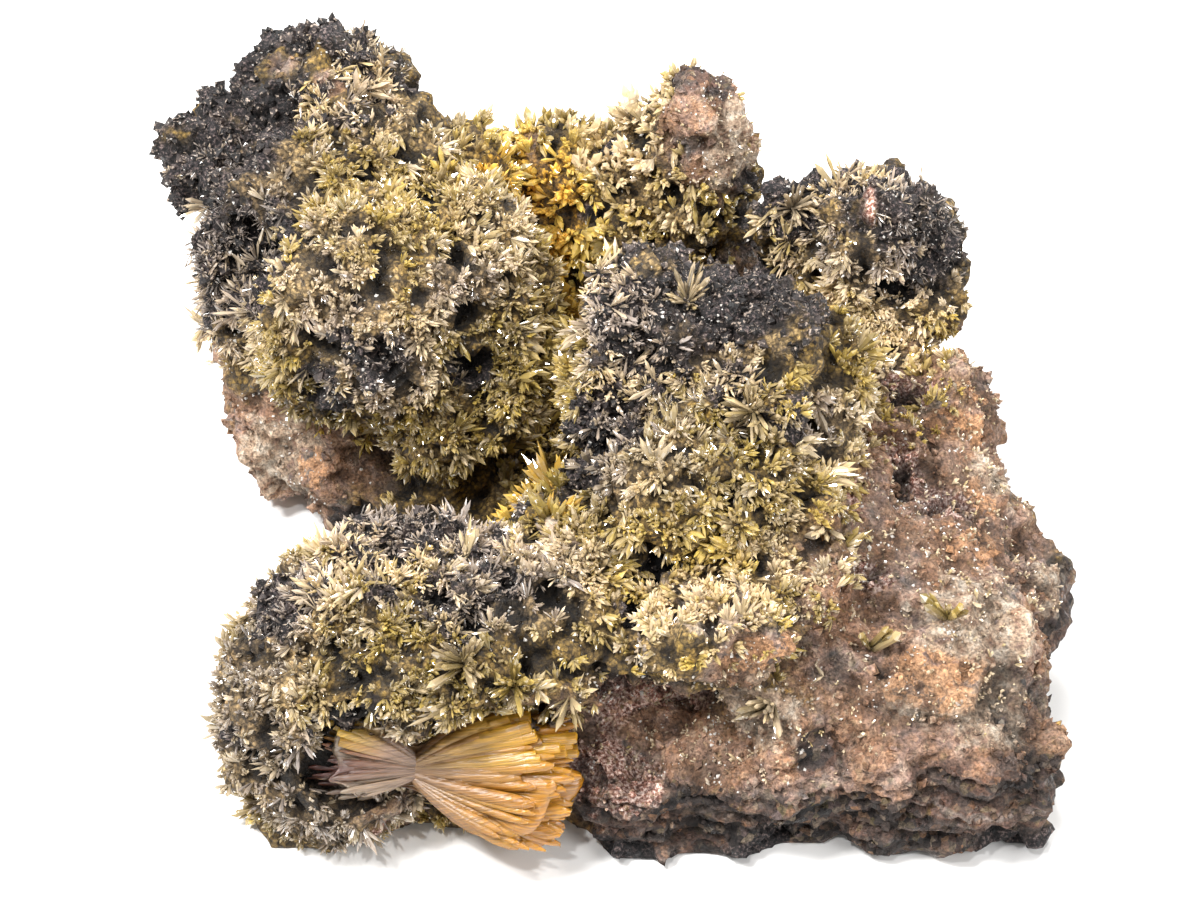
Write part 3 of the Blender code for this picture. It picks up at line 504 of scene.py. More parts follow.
crust = {  # what the growths have in common, of which each changes some
    "nodes": [], "kind": "spindle",
    "members": (6, 11),      # crystals in a tuft
    "spread": 44,            # degrees that a tuft opens, give or take the opening
    "opening": (0.7, 1.2), "flatness": (0.25, 1.0),    # from flat fans to round tufts
    "length": (1.0, 2.1), "width": (0.18, 0.38),       # mm
    "bigShare": 0.08, "bigScale": 1.6,                 # share of the tufts that are larger
    "buried": 0.4,           # share of the length below the ground
    "onBlack": 0.85, "offRock": 0.96, "onlyBlack": 0,  # how far black crust, bare rock or the lack of black thins them
    "paler": 0, "brighter": 0,
    "sheafGap": 0.15, "groupGap": 0.6,                 # mm kept clear round the sheaf and round each group
}
growths = {
    "left_lobe_prisms": {
        "nodes": ["mimetite_crust_left_lobe"], "seed": 11, "bunches": 2110, "lean": 0.62, "where": [
            (-20, 10, 26, 14, 18, 16),
        ],
    },
    "valley_prisms": {
        "nodes": ["mimetite_crust_valley"], "seed": 12, "bunches": 1250, "members": (5, 9), "spread": 42, "lean": 0.5,
        "length": (1.2, 2.4), "width": (0.28, 0.56), "bigShare": 0.1, "offRock": 0.97, "where": [
            (-2, 31, 24, 14, 12, 14), (-6, 15, 13, 7, 18, 10),
        ],
    },
    "right_knob_prisms": {
        "nodes": ["mimetite_crust_right_knob"], "seed": 13, "bunches": 950, "lean": 0.55, "length": (0.9, 1.9),
        "width": (0.18, 0.36), "onBlack": 0.75, "offRock": 0.9, "buried": 0.38, "where": [
            (22, 8, 23, 9, 12, 10),
        ],
    },
    "centre_prisms": {
        "nodes": ["mimetite_crust_centre"], "seed": 14, "bunches": 2060, "lean": 0.6, "width": (0.18, 0.4),
        "offRock": 0.92, "where": [
            (7, -14, 24, 15, 14, 12), (-5, -4, 20, 8, 14, 12),
        ],
    },
    "front_lobe_prisms": {
        "nodes": ["mimetite_crust_front_lobe"], "seed": 15, "bunches": 2010, "spread": 42, "lean": 0.75,
        "length": (0.9, 1.9), "width": (0.16, 0.36), "bigShare": 0.1, "onBlack": 0.8, "where": [
            (-20, -22, 9, 20, 17, 17),
        ],
    },
    "slope_druse": {
        "seed": 16, "bunches": 1300, "members": (1, 4), "spread": 60, "paler": -0.3, "lean": 0.5,
        "length": (0.4, 0.95), "width": (0.14, 0.3), "bigShare": 0.05, "onBlack": 0.6, "offRock": 0.0, "where": [
            (24, -8, 16, 15, 24, 10), (8, -24, 14, 16, 9, 9), (10, 30, 30, 6, 6, 8),
        ],
    },
    "black_crust_needles": {
        "seed": 17, "bunches": 1150, "members": (3, 6), "spread": 66, "onlyBlack": 1.0, "paler": -0.35, "lean": 0.6,
        "length": (0.8, 1.7), "width": (0.1, 0.22), "bigShare": 0.06, "onBlack": 0.0, "offRock": 0.5,
        "buried": 0.3, "kind": "needle", "where": [
            (-34, 18, 26, 9, 13, 10), (-23, 27, 37, 7, 8, 5), (22, 14, 29, 10, 8, 8), (-18, -20, 19, 16, 12, 8),
            (-20, 0, 27, 7, 7, 7), (2, -20, 20, 6, 5, 4), (9, -9, 31, 8, 3.4, 4),
        ],
    },
    "dusty_needles": {
        "seed": 18, "bunches": 1400, "members": (4, 8), "spread": 48, "onlyBlack": 0.6, "paler": -0.16, "lean": 0.85,
        "length": (1.1, 2.5), "width": (0.16, 0.34), "bigShare": 0.06, "onBlack": 0.0, "offRock": 0.8,
        "buried": 0.3, "kind": "needle", "brighter": 0.32, "where": [
            (-17, -19, 21, 13, 8, 4), (-1, -4, 34, 5, 7, 6), (4, -9.5, 31, 9, 3.6, 5), (-37, 15, 23, 6, 9, 8),
            (20, 17, 28, 7, 5, 6), (-24, 24, 37, 5, 6, 4), (-22, -29, 8, 10, 6, 8),
        ],
    },
}


def withinBox(points, spare, radius=0):  # true within the solids' box with this much to spare in mm
    low, high = np.array(cadBox) / mm
    return (points - radius > low - spare).all(1) & (points + radius < high + spare).all(1)


def spraysOf(spots, normals, look, rng):  # tufts that fan out of one root: bunch, foot, direction, length and width
    count = len(spots)
    members = rng.integers(look["members"][0], look["members"][1] + 1, count)
    bunch = np.repeat(np.arange(count), members)
    total = len(bunch)
    lean = unit(normals + rng.normal(0, look["lean"], (count, 3)))
    lean = unit(lean + normals * np.maximum(0.4 - (lean * normals).sum(1), 0)[:, None])
    scale = np.exp(rng.normal(0, 0.3, count)) * sizeAt(spots)
    scale[rng.random(count) < look["bigShare"]] *= look["bigScale"]
    opening = np.radians(look["spread"]) * rng.uniform(*look["opening"], count)
    share = np.sqrt(rng.random(total))
    tilt = opening[bunch] * share
    sideA, sideB = aroundAxes(lean, spinsFor(count, rng))
    squeeze = rng.uniform(*look["flatness"], count)[bunch]
    turn = spinsFor(total, rng)
    flat = sideA[bunch] * np.cos(turn)[:, None] + sideB[bunch] * (squeeze * np.sin(turn))[:, None]
    direction = unit(lean[bunch] * np.cos(tilt)[:, None] + flat * np.sin(tilt)[:, None])
    length = rng.uniform(*look["length"], total) * scale[bunch] * (1 - 0.25 * share)
    width = rng.uniform(*look["width"], total) * scale[bunch] ** 0.7
    foot = spots[bunch] + flat * (0.16 * tilt * length)[:, None] - direction * (look["buried"] * length)[:, None]
    under = (foot + direction * length[:, None])[:, 2] < 0.3   # nothing grows into the floor
    direction[under, 2] = np.abs(direction[under, 2])
    foot[:, 2] = np.maximum(foot[:, 2], 0.2)
    inside = withinBox(foot + direction * length[:, None], 0.9)
    return [values[inside] for values in (bunch, foot, direction, length, width)]


def heartOfSheaf():  # the sheaf's solid well drawn in
    bm = weldedCopy("mimetite_bow_tie_sheaf")
    settled(bm, 2)
    for v in bm.verts:
        v.co -= v.normal * sheaf["heartInset"] * mm
    return treeOf(bm)


def hidesSheaf(points, heart):  # true for the points that stand between the sheaf and the front
    back = -sheafAxes()[2]
    low, high = sheaf["hideBox"]
    near = ((points > low) & (points < high)).all(1)
    return np.array([bool(n) and heart.ray_cast(Vector(p) * mm, back, 14 * mm)[0] is not None
                     for p, n in zip(points, near)])


def insideBox(places, axes):  # true for the crystals that stay within the box, from their middle to their tip
    side = (np.abs(axes[:, 0]) + np.abs(axes[:, 1])) / 2
    levels = ((0.5, side), (0.8, side), (1.0, 0))
    return np.all([withinBox(places + axes[:, 2] * share, 1.0, radius) for share, radius in levels], axis=0)


def spotWeights(look, survey):  # how likely crystals are on each triangle of the ground
    centres, black = survey["centres"], survey["black"]
    facing = survey["normals"].mean(1)
    weight = inBlobs(centres, look["where"], edge=0.12, wander=0.2, grain=3, seed=look["seed"])
    weight *= 1 - look["onBlack"] * black
    weight *= 1 - look["offRock"] * survey["bare"]
    weight *= 1 - 0.97 * smooth(0.15, 0.6, survey["hollow"])
    weight *= 1 - look["onlyBlack"] * (1 - black)
    weight *= smooth(-0.8, -0.3, facing[:, 2]) * smooth(0.6, 1.4, centres[:, 2])   # few below, none at the sole
    weight *= 1 - 0.65 * smooth(0.2, 0.7, facing[:, 1]) * (1 - smooth(0.2, 0.6, facing[:, 2]))   # fewer at the back
    return weight * (smooth(-0.45, 0.15, noiseAt(centres, 1.5, look["seed"] + 3)) * 0.85 + 0.15)


def growCrystals(name, look, survey, keepOut, material):
    rng = np.random.default_rng(look["seed"])
    spots, normals = chooseSpots(survey, spotWeights(look, survey), look["bunches"], rng)
    margins = [look["sheafGap"]] + [look["groupGap"]] * (len(keepOut) - 1)
    clear = [all(tree.find_nearest(Vector(p) * mm)[3] > m * mm for tree, m in zip(keepOut, margins)) for p in spots]
    spots, normals = spots[clear], normals[clear]
    sprays = spraysOf(spots, normals, look, rng)
    tips = sprays[1] + sprays[2] * sprays[3][:, None]
    clearOfSheaf = ~(hidesSheaf(tips, survey["heart"]) | hidesSheaf(sprays[1], survey["heart"]))
    bunch, foot, direction, length, width = [values[clearOfSheaf] for values in sprays]
    total = len(bunch)
    hue = (hueAt(spots) + rng.normal(0, 0.07, len(spots)))[bunch] + rng.normal(0, 0.05, total) + look["paler"]
    axes = crossAxes(direction, spinsFor(total, rng), width, width * rng.uniform(0.4, 0.9, total), length)
    patchy = 0.4 * rng.random(len(spots)) + 0.3 * noiseAt(spots, 2.6, 73)
    # painted light and painted shade over whole patches of crystals
    for blobs, gain, seed in ((paintedLight, 0.36, 74), (paintedShade, -0.42, 75)):
        patchy += gain * inBlobs(spots, blobs, edge=0.5, seed=seed)
    patchy += look["brighter"]
    shade = np.clip(patchy[bunch] + 0.12 + 0.4 * rng.random(total), 0, 1)
    tints = np.stack([np.clip(hue, 0, 1), shade, rng.random(total)], axis=1)
    inside = insideBox(foot, axes)
    mesh = joinedMesh(name, look["kind"], foot[inside], axes[inside], tints[inside])
    print(name, inside.sum(), "crystals in", len(spots), "bunches")
    addPiece(name, mesh, look["nodes"], material)


granules = {  # of the black oxide
    "left_peak_granules": {
        "nodes": ["manganese_crust_left_peak"], "seed": 21, "count": 2300, "size": (0.3, 1.5), "where": [
            (-31, 29, 34, 13, 11, 12), (-37, 20, 25, 8, 12, 13), (-20, 0, 27, 6, 6, 6),
        ],
    },
    "centre_knob_granules": {
        "nodes": ["manganese_crust_centre_knob"], "seed": 22, "count": 2300, "size": (0.25, 1.1), "where": [
            (7, -2, 34, 15, 10, 8), (0, -7, 28, 7, 6, 8), (13, -10, 30, 4, 4, 4),
        ],
    },
    "right_knob_granules": {
        "nodes": ["manganese_crust_right_knob"], "seed": 23, "count": 1300, "size": (0.25, 1.1), "where": [
            (22, 18, 30, 13, 10, 10),
        ],
    },
    "front_lobe_granules": {
        "nodes": ["manganese_crust_front_lobe"], "seed": 24, "count": 1900, "size": (0.3, 1.0), "where": [
            (-18, -19, 19, 14, 12, 6), (-24, -30, 13, 5, 4, 4), (2, -20, 20, 5, 5, 4),
        ],
    },
}
sparks = {  # the clear druse, whose near-white colour also paints in glints
    "seed": 33, "count": 3200, "size": (0.12, 0.42), "where": [
        (22, -8, 17, 9, 16, 9), (8, -24, 14, 14, 9, 8), (-36, 18, 25, 9, 12, 12), (-26, 28, 37, 7, 8, 5),
        (0, -5, 32, 8, 9, 8), (22, 15, 29, 10, 9, 8), (-18, -20, 19, 16, 12, 8), (-20, 0, 27, 8, 8, 8),
        (-28, 5, 12, 6, 6, 8), (6, 31, 30, 8, 6, 8),
    ],
}
grit = {"seed": 31, "count": 4200, "size": (0.35, 1.1)}   # chips of rock on the bare stretches
grainForm = {"lean": 0.3, "stretch": (0.55, 1.4), "buried": 0.45}   # of every grain, the last two as shares of its size


def scatterGrains(name, nodes, look, weight, survey, material, slotName):
    rng = np.random.default_rng(look["seed"])
    count = look["count"]
    spots, normals = chooseSpots(survey, weight, count, rng)
    small, large = look["size"]
    size = small + (large - small) * rng.random(count) ** 2
    direction = unit(normals + rng.normal(0, grainForm["lean"], (count, 3)))
    spins = spinsFor(count, rng)
    stretch = rng.uniform(*grainForm["stretch"], (count, 3)) * size[:, None]
    axes = crossAxes(direction, spins, *stretch.T)
    tints = rng.random((count, 3))
    places = spots - direction * (grainForm["buried"] * size)[:, None]
    inside = insideBox(places, axes)
    spots, tints, count = spots[inside], tints[inside], int(inside.sum())
    mesh = joinedMesh(name, "grain", places[inside], axes[inside], tints)
    if slotName == "gossan_rock":
        writeZones(mesh, zonesAt(spots), np.zeros(count), 0.35 + 0.5 * tints[:, 0], len(mesh.vertices) // count)
    print(name, count, "grains")
    addPiece(name, mesh, nodes, material)


# the bow-tie sheaf

sheaf = {
    "seed": 41,
    "waist": (-17.0, -29.4, 8.4),
    "slope": 42,             # degrees that the fan leans back from upright
    "neck": 1.5,             # mm, half width of the waist
    "coreInset": (0.28, 0.8),   # mm from the solid's surface down to the body between the blades, right and left
    "heartInset": 0.7,       # mm to the part of the solid that nothing may hide
    "hideBox": ((-27, -99, -99), (0, -14, 28)),   # mm, where things could hide it
    "sides": {   # middle in degrees, blades in a layer, the layers' tilts to the front, least share of the reach and
        # how much less it is at the front, reach in mm by degrees
        "right": {
            "middle": 0, "blades": 34, "tilts": (-14, -7, 0, 7, 13, 19), "shortest": 0.74, "frontShorter": 0.24,
            "reach": ((-42, 9.6), (-37, 11.6), (-31, 13.0), (-26, 13.8), (-20, 13.2), (-13, 13.5), (-7, 14.6),
                      (-2, 14.2), (3, 14.8), (9, 13.5), (17, 14.1), (24, 12.9), (29, 11.6), (36, 9.6), (40, 8.4)),
        },
        "left": {
            "middle": 180, "blades": 24, "tilts": (-8, -1, 6, 13, 20), "shortest": 0.58, "frontShorter": 0,
            "reach": ((132, 6.4), (138, 7.2), (153, 9.6), (166, 9.0), (182, 9.9), (199, 7.4), (208, 5.6)),
        },
    },
    "stout": {"between": (4, 36), "share": 0.4, "shortest": 0.9, "breadth": (0.9, 1.7)},   # blunt blades at the right
    "golden": {"below": 158, "breadth": (0.6, 1.1)},                                       # and at the upper left
    "pointed": ((0, 0.3), (0.2, 0.42), (0.42, 0.66), (0.66, 0.94), (0.84, 1.0), (0.95, 0.74), (1, 0.3)),   # width along
    "blunt": ((0, 0.3), (0.2, 0.42), (0.42, 0.66), (0.66, 0.94), (0.84, 1.0), (1, 0.84)),
    "leftHues": ((154, 0.8), (162, 0.4), (170, 0.27), (186, 0.24), (192, 0.04)),    # by degrees
    "coreHues": ((-12, 0.02), (-4, 0.2), (4, 0.26), (12, 0.1), (20, 0.04)),
}


def sheafAxes():  # along the sheaf, across its face, and out of its face to the front
    lean = math.radians(sheaf["slope"])
    return Vector((1, 0, 0)), Vector((0, math.sin(lean), math.cos(lean))), Vector((0, -math.cos(lean), math.sin(lean)))


def readOff(table, value):
    return float(np.interp(value, *zip(*table)))


def bladeFrames(foot, bend, tip, across, stations):  # centre, axes and share of the width along the blade
    frames = []
    for share, scale in stations:
        centre = foot * (1 - share) ** 2 + bend * 2 * share * (1 - share) + tip * share ** 2
        along = ((bend - foot) * (1 - share) + (tip - bend) * share).normalized()
        side = (across - along * across.dot(along)).normalized()
        frames.append((centre, side, along.cross(side), along, scale))
    return frames


def growBlade(foot, bend, tip, across, width, stations, point):
    thickness = width * 0.5
    frames = bladeFrames(foot, bend, tip, across, stations)
    bm = bmesh.new()
    ring = bmesh.ops.create_circle(bm, cap_ends=True, segments=6, radius=0.5)["verts"]
    layer = bm.loops.layers.uv.new("grain")
    end = bm.faces[:][0]
    last = Matrix()
    for centre, side, front, along, scale in frames:
        if ring is None:
            made = bmesh.ops.extrude_face_region(bm, geom=[end])["geom"]
            ring = [g for g in made if isinstance(g, bmesh.types.BMVert)]
            end = [g for g in made if isinstance(g, bmesh.types.BMFace)][0]
        turn = Matrix((side * (width * scale), front * (thickness * scale), along)).transposed().to_4x4()
        step = Matrix.Translation(centre) @ turn @ last.inverted()
        bmesh.ops.transform(bm, matrix=step, verts=ring)
        last, ring = step @ last, None
    peak = bmesh.ops.poke(bm, faces=[end])["verts"]
    drift = side * (0.3 * width * math.sin(17.0 * width)) + along * point   # each tip leans its own way
    bmesh.ops.translate(bm, vec=drift, verts=peak)
    bmesh.ops.recalc_face_normals(bm, faces=bm.faces)
    for face in bm.faces:  # the grain map: across in mm, along in mm
        face.smooth = len(face.verts) == 4
        for loop in face.loops:
            out = loop.vert.co - foot
            loop[layer].uv = (out.dot(across) + 0.7 * out.dot(frames[0][2]), out.length)
    return bm


def sheafCore(waist, along, across, front):  # the solid's own body, drawn in a little, which closes the gaps
    core = weldedCopy("mimetite_bow_tie_sheaf")
    bmesh.ops.subdivide_edges(core, edges=core.edges, cuts=1, use_grid_fill=True)
    settled(core, 3)
    right, left = sheaf["coreInset"]
    for v in core.verts:
        share = min(max((waist.x - 1 - v.co.x / mm) / 2, 0), 1)
        v.co -= v.normal * (right * (1 - share) + left * share) * mm
    bmesh.ops.scale(core, vec=(1 / mm, 1 / mm, 1 / mm), verts=core.verts)
    layer = core.loops.layers.uv.new("grain")
    for face in core.faces:
        face.smooth = True
        for loop in face.loops:
            out = loop.vert.co - waist
            level = abs(out.dot(along)) + 0.01
            turn = math.atan2(out.dot(across), level) * 9 + math.atan2(out.dot(front), level) * 6
            loop[layer].uv = (turn, out.length + 1)
    return core


def addTo(target, bm, tint, mark):  # joins a blade to the sheaf with its own tint
    bmesh.ops.scale(bm, vec=(mm, mm, mm), verts=bm.verts)
    scratch = meshFrom(bm, "blade")
    start = len(target.verts)
    target.from_mesh(scratch)
    target.verts.ensure_lookup_table()
    for v in target.verts[start:]:
        v[mark] = tint
    bpy.data.meshes.remove(scratch)


def heading(turn, leaning):  # the direction at these angles of the sheaf
    along, across, front = sheafAxes()
    flat = along * math.cos(turn) + across * math.sin(turn)
    return flat * math.cos(leaning) + front * math.sin(leaning)


def bladeAt(isRight, side, index, tilt, depth, rng):  # one blade of a fan with its tint
    waist = Vector(sheaf["waist"])
    along, across, front = sheafAxes()
    lowest, highest = side["reach"][0][0], side["reach"][-1][0]
    angle = lowest + (highest - lowest) * (index + 0.5 + rng.uniform(-0.45, 0.45)) / side["blades"]
    low, high = sheaf["stout"]["between"]
    stout = isRight and low < angle < high and rng.random() < sheaf["stout"]["share"]
    golden = not isRight and angle < sheaf["golden"]["below"]
    shortest = sheaf["stout"]["shortest"] if stout else side["shortest"] - side["frontShorter"] * max(depth, 0) ** 1.5
    reach = readOff(side["reach"], angle) * (1 - 0.16 * depth ** 2) * rng.uniform(shortest, 1.0)
    turn, middle = math.radians(angle), math.radians(side["middle"])
    leaning = math.radians(tilt + rng.uniform(-1.2, 1.2))
    out = heading(turn, leaning)
    swell = heading(middle + (turn - middle) * 1.5, leaning * 1.5)   # the blades bow outwards on their way
    half = max(abs(math.sin(math.radians(a - side["middle"]))) for a in (lowest, highest))
    spread = math.sin(turn - middle) / half * (1 if isRight else -1)
    foot = waist + across * sheaf["neck"] * spread * 0.7 + front * depth * 0.9 - out * 1.1
    bend = waist + swell * reach * 0.45 + front * depth * 0.5
    breadth = 0.7 + 1.0 * rng.random() ** 1.6 if isRight else rng.uniform(0.28, 0.7)
    if stout or golden:
        breadth = rng.uniform(*sheaf["stout" if stout else "golden"]["breadth"])
    stations = sheaf["blunt" if stout or golden else "pointed"]
    blade = growBlade(foot, bend, waist + out * reach, across, breadth, stations, breadth * rng.uniform(0.04, 0.14))
    if isRight:
        hue, dull = 0.63 if stout else 0.53 + 0.05 * rng.random(), 0.5
    else:
        hue, dull = readOff(sheaf["leftHues"], angle + rng.normal(0, 3)), 1.35 if golden else 0.8
    return blade, (hue, rng.random(), dull, rng.random())


def growSheaf(material):
    rng = np.random.default_rng(sheaf["seed"])
    waist = Vector(sheaf["waist"])
    along, across, front = sheafAxes()
    whole = bmesh.new()
    mark = whole.verts.layers.float_color.new("tint")
    addTo(whole, sheafCore(waist, along, across, front), (0.55, 0.5, 0.5, 0.5), mark)
    for v in whole.verts:  # the left half of the body: grey and maroon, yellow only at the upper end
        out = v.co / mm - waist
        if out.dot(along) < -1:
            turn = math.degrees(math.atan2(out.dot(across), -out.dot(along)))
            v[mark] = (readOff(sheaf["coreHues"], turn), 0.3, 0.9, 0.5)
    for name, side in sheaf["sides"].items():
        for layer, tilt in enumerate(side["tilts"]):
            depth = (layer / (len(side["tilts"]) - 1) - 0.5) * 2   # -1 in the back layer, 1 in the front one
            for index in range(side["blades"]):
                blade, tint = bladeAt(name == "right", side, index, tilt, depth, rng)
                addTo(whole, blade, tint, mark)
    mesh = meshFrom(whole, "bow_tie_sheaf")
    print("bow tie sheaf", len(mesh.polygons), "faces")
    addPiece("bow_tie_sheaf", mesh, ["mimetite_bow_tie_sheaf"], material)


# the groups that stand out

groups = {  # solid, slot, hue, finer prisms beside each main one, how far they lean, width as a share of the length
    "star_right_knob": ("mimetite_star_right_knob", "pale_mimetite", 0.3, 8, 0.17, 0.15),
    "golden_cluster_valley": ("mimetite_cluster_valley", "golden_mimetite", 0.95, 6, 0.2, 0.24),
    "needles_centre_knob": ("mimetite_needles_centre_knob", "pale_mimetite", 0.4, 8, 0.14, 0.13),
    "fan_centre_right": ("mimetite_fan_centre_right", "pale_mimetite", 0.42, 9, 0.14, 0.13),
    "prisms_right_slope": ("mimetite_prism_right_slope", "pale_mimetite", 0.62, 7, 0.09, 0.2),
    "prisms_right_block": ("mimetite_prism_right_block", "pale_mimetite", 0.6, 7, 0.09, 0.2),
    "blades_front_lobe": ("mimetite_blades_front_lobe", "golden_mimetite", 0.5, 9, 0.16, 0.14),
    "cluster_front_lobe": ("mimetite_cluster_front_lobe", "golden_mimetite", 0.66, 9, 0.16, 0.14),
    "crystals_ledge": ("mimetite_crystals_ledge", "pale_mimetite", 0.4, 8, 0.18, 0.15),
}


def tipsOf(bm):  # the pointed ends of the solid's prisms and the middle of its corners
    tips = []
    for v in bm.verts:
        around = [e.other_vert(v) for e in v.link_edges]
        lean = (v.co - sum((o.co for o in around), Vector()) / len(around)).normalized()
        pointed = all((o.co - v.co).dot(lean) < -0.05 * mm for o in around)
        if len(around) > 4 and pointed and v.normal.dot(lean) > 0.6:
            tips.append(v.co / mm)
    return tips, sum((v.co for v in bm.verts), Vector()) / len(bm.verts) / mm


def dressGroup(name, entry, ground, material):
    nodeName, slotName, hue, around, swinging, share = entry
    rng = np.random.default_rng(len(name) * 7 + 3)
    bm = weldedCopy(nodeName)
    tips, centre = tipsOf(bm)
    bm.free()
    contact = ground.find_nearest(centre * mm)[0] / mm
    root = contact + (contact - centre) * 0.3
    feet, directions, lengths, widths = [], [], [], []
    for tip in tips:
        main = tip - root
        reach = main.length
        for k in range(around + 1):   # the main prism first, then the finer ones beside it
            swing = Vector(rng.normal(0, 0.03 if k == 0 else swinging, 3))
            directions.append((main.normalized() + swing).normalized())
            feet.append(root + Vector(rng.normal(0, 0.12, 3)))
            lengths.append(reach if k == 0 else reach * rng.uniform(0.5, 0.93))
            widths.append(share * reach * (1 if k == 0 else rng.uniform(0.4, 0.8)))
    feet, directions, lengths, widths = map(np.array, (feet, directions, lengths, widths))
    count = len(feet)
    axes = crossAxes(directions, spinsFor(count, rng), widths, widths * 0.75, lengths)
    hues = np.clip(hue + rng.normal(0, 0.06, count), 0, 1)
    tints = np.stack([hues, rng.random(count), rng.random(count)], axis=1)
    print(name, len(tips), "prisms of the solid,", count, "in all")
    addPiece(name, joinedMesh(name, "prism", feet, axes, tints), [nodeName], material)


# materials

def addNode(tree, kind, inputs=(), output=0, stops=(), **settings):  # adds a node with its settings and links
    node = tree.nodes.new("ShaderNode" + kind)
    for key, value in settings.items():
        setattr(node, key, value)
    for socket, value in inputs.items() if isinstance(inputs, dict) else enumerate(inputs):
        if isinstance(value, bpy.types.NodeSocket):
            tree.links.new(value, node.inputs[socket])
        else:
            node.inputs[socket].default_value = value
    if stops:  # the places and colours of a ramp
        elements = node.color_ramp.elements
        while len(elements) < len(stops):
            elements.new(0.5)
        for element, (place, colour) in zip(elements, stops):
            element.position = place
            element.color = toLinear(colour)
    return node.outputs[output] if node.outputs else None


def newMaterial(name):
    material = bpy.data.materials.new(name)
    material.use_nodes = True
    material.node_tree.nodes.clear()
    return material, material.node_tree


def finishSurface(tree, inputs):
    addNode(tree, "OutputMaterial", [addNode(tree, "BsdfPrincipled", inputs)])


def layered(tree, body, *layers):  # covers the body colour by a share with each layer's own colour
    for share, cover in layers:
        cover = toLinear(cover) if isinstance(cover, str) else cover
        body = addNode(tree, "Mix", {0: share, 6: body, 7: cover}, 2, data_type="RGBA")
    return body


def shadedBy(tree, body, *fades):  # scales the body colour by values, each mapped onto low to high from its span
    for value, low, high, *span in fades:
        level = addNode(tree, "MapRange", [value, *(span or (0.0, 1.0)), low, high])
        grey = addNode(tree, "CombineColor", [level] * 3)
        body = addNode(tree, "Mix", {0: 1.0, 6: body, 7: grey}, 2, data_type="RGBA", blend_type="MULTIPLY")
    return body


def channelsOf(tree, name):  # the four numbers of an attribute
    colour = addNode(tree, "Attribute", attribute_name=name)
    return *addNode(tree, "SeparateColor", [colour]).node.outputs, colour.node.outputs["Alpha"]


def grainOf(tree, size, detail=4.0):  # noise on Object coordinates, its lumps this size in mm
    place = addNode(tree, "TexCoord", output="Object")
    return addNode(tree, "TexNoise", {"Vector": place, "Scale": 1 / (size * mm), "Detail": detail, "Roughness": 0.6})


def facetsOf(tree, size):  # small flat faces at random tilts: random numbers for each, how far out, height in metres
    place = addNode(tree, "TexCoord", output="Object")
    wander = addNode(tree, "TexNoise", {"Vector": place, "Scale": 1 / (2 * size * mm), "Detail": 2.0}, "Color")
    bent = addNode(tree, "VectorMath", [wander, (1.3 * size * mm,) * 3, place], operation="MULTIPLY_ADD")
    away = addNode(tree, "TexVoronoi", {"Vector": bent, "Scale": 1 / (size * mm)})
    cell = away.node.outputs
    out = addNode(tree, "VectorMath", [bent, cell["Position"]], operation="SUBTRACT")
    lean = addNode(tree, "VectorMath", [cell["Color"], (0.5, 0.5, 0.5)], operation="SUBTRACT")
    height = addNode(tree, "VectorMath", [out, lean], "Value", operation="DOT_PRODUCT")
    return addNode(tree, "SeparateColor", [cell["Color"]]).node.outputs, away, height


prism = {
    "tones": [(0.0, "#a1948a"), (0.15, "#b3a08c"), (0.36, "#e0caa6"), (0.6, "#b39b60"), (0.8, "#d3b65c"),
              (1.0, "#ebbb52")],   # by hue: dusty, pale, olive, yellow, golden
    "dust": "#c9b9a6",
}


def mimetitePrisms(name, clearness, gloss):
    # resinous lead arsenate prisms: olive to golden body colour, bright adamantine facets, a little light through
    material, tree = newMaterial(name)
    hue, shade, along, _ = channelsOf(tree, "tint")
    body = addNode(tree, "ValToRGB", [hue], stops=prism["tones"])
    # shade is random tone with painted light and shade over whole patches; along darkens each crystal towards its foot
    # with painted shade where they crowd
    body = shadedBy(tree, body, (shade, 0.5, 1.3), (along, 0.3, 1.15))
    dust = grainOf(tree, 0.5)
    body = layered(tree, body, (addNode(tree, "MapRange", [dust, 0.55, 0.75, 0.0, 0.3]), prism["dust"]))
    finishSurface(tree, {
        "Base Color": body, "Roughness": addNode(tree, "MapRange", [dust, 0.0, 1.0, *gloss]), "IOR": 2.1,
        "Transmission Weight": clearness})
    return material


amber = {
    "tones": [(0.0, "#98876f"), (0.25, "#5e2f24"), (0.48, "#8a561c"), (0.56, "#ab741c"), (0.66, "#c4932a"),
              (0.8, "#d9ab3c"), (0.9, "#e6c458")],
    "waist": "#9c7a60",
    "lines": (6.5, 0.35, 1.0),   # growth lines to a mm across and along the blades
}


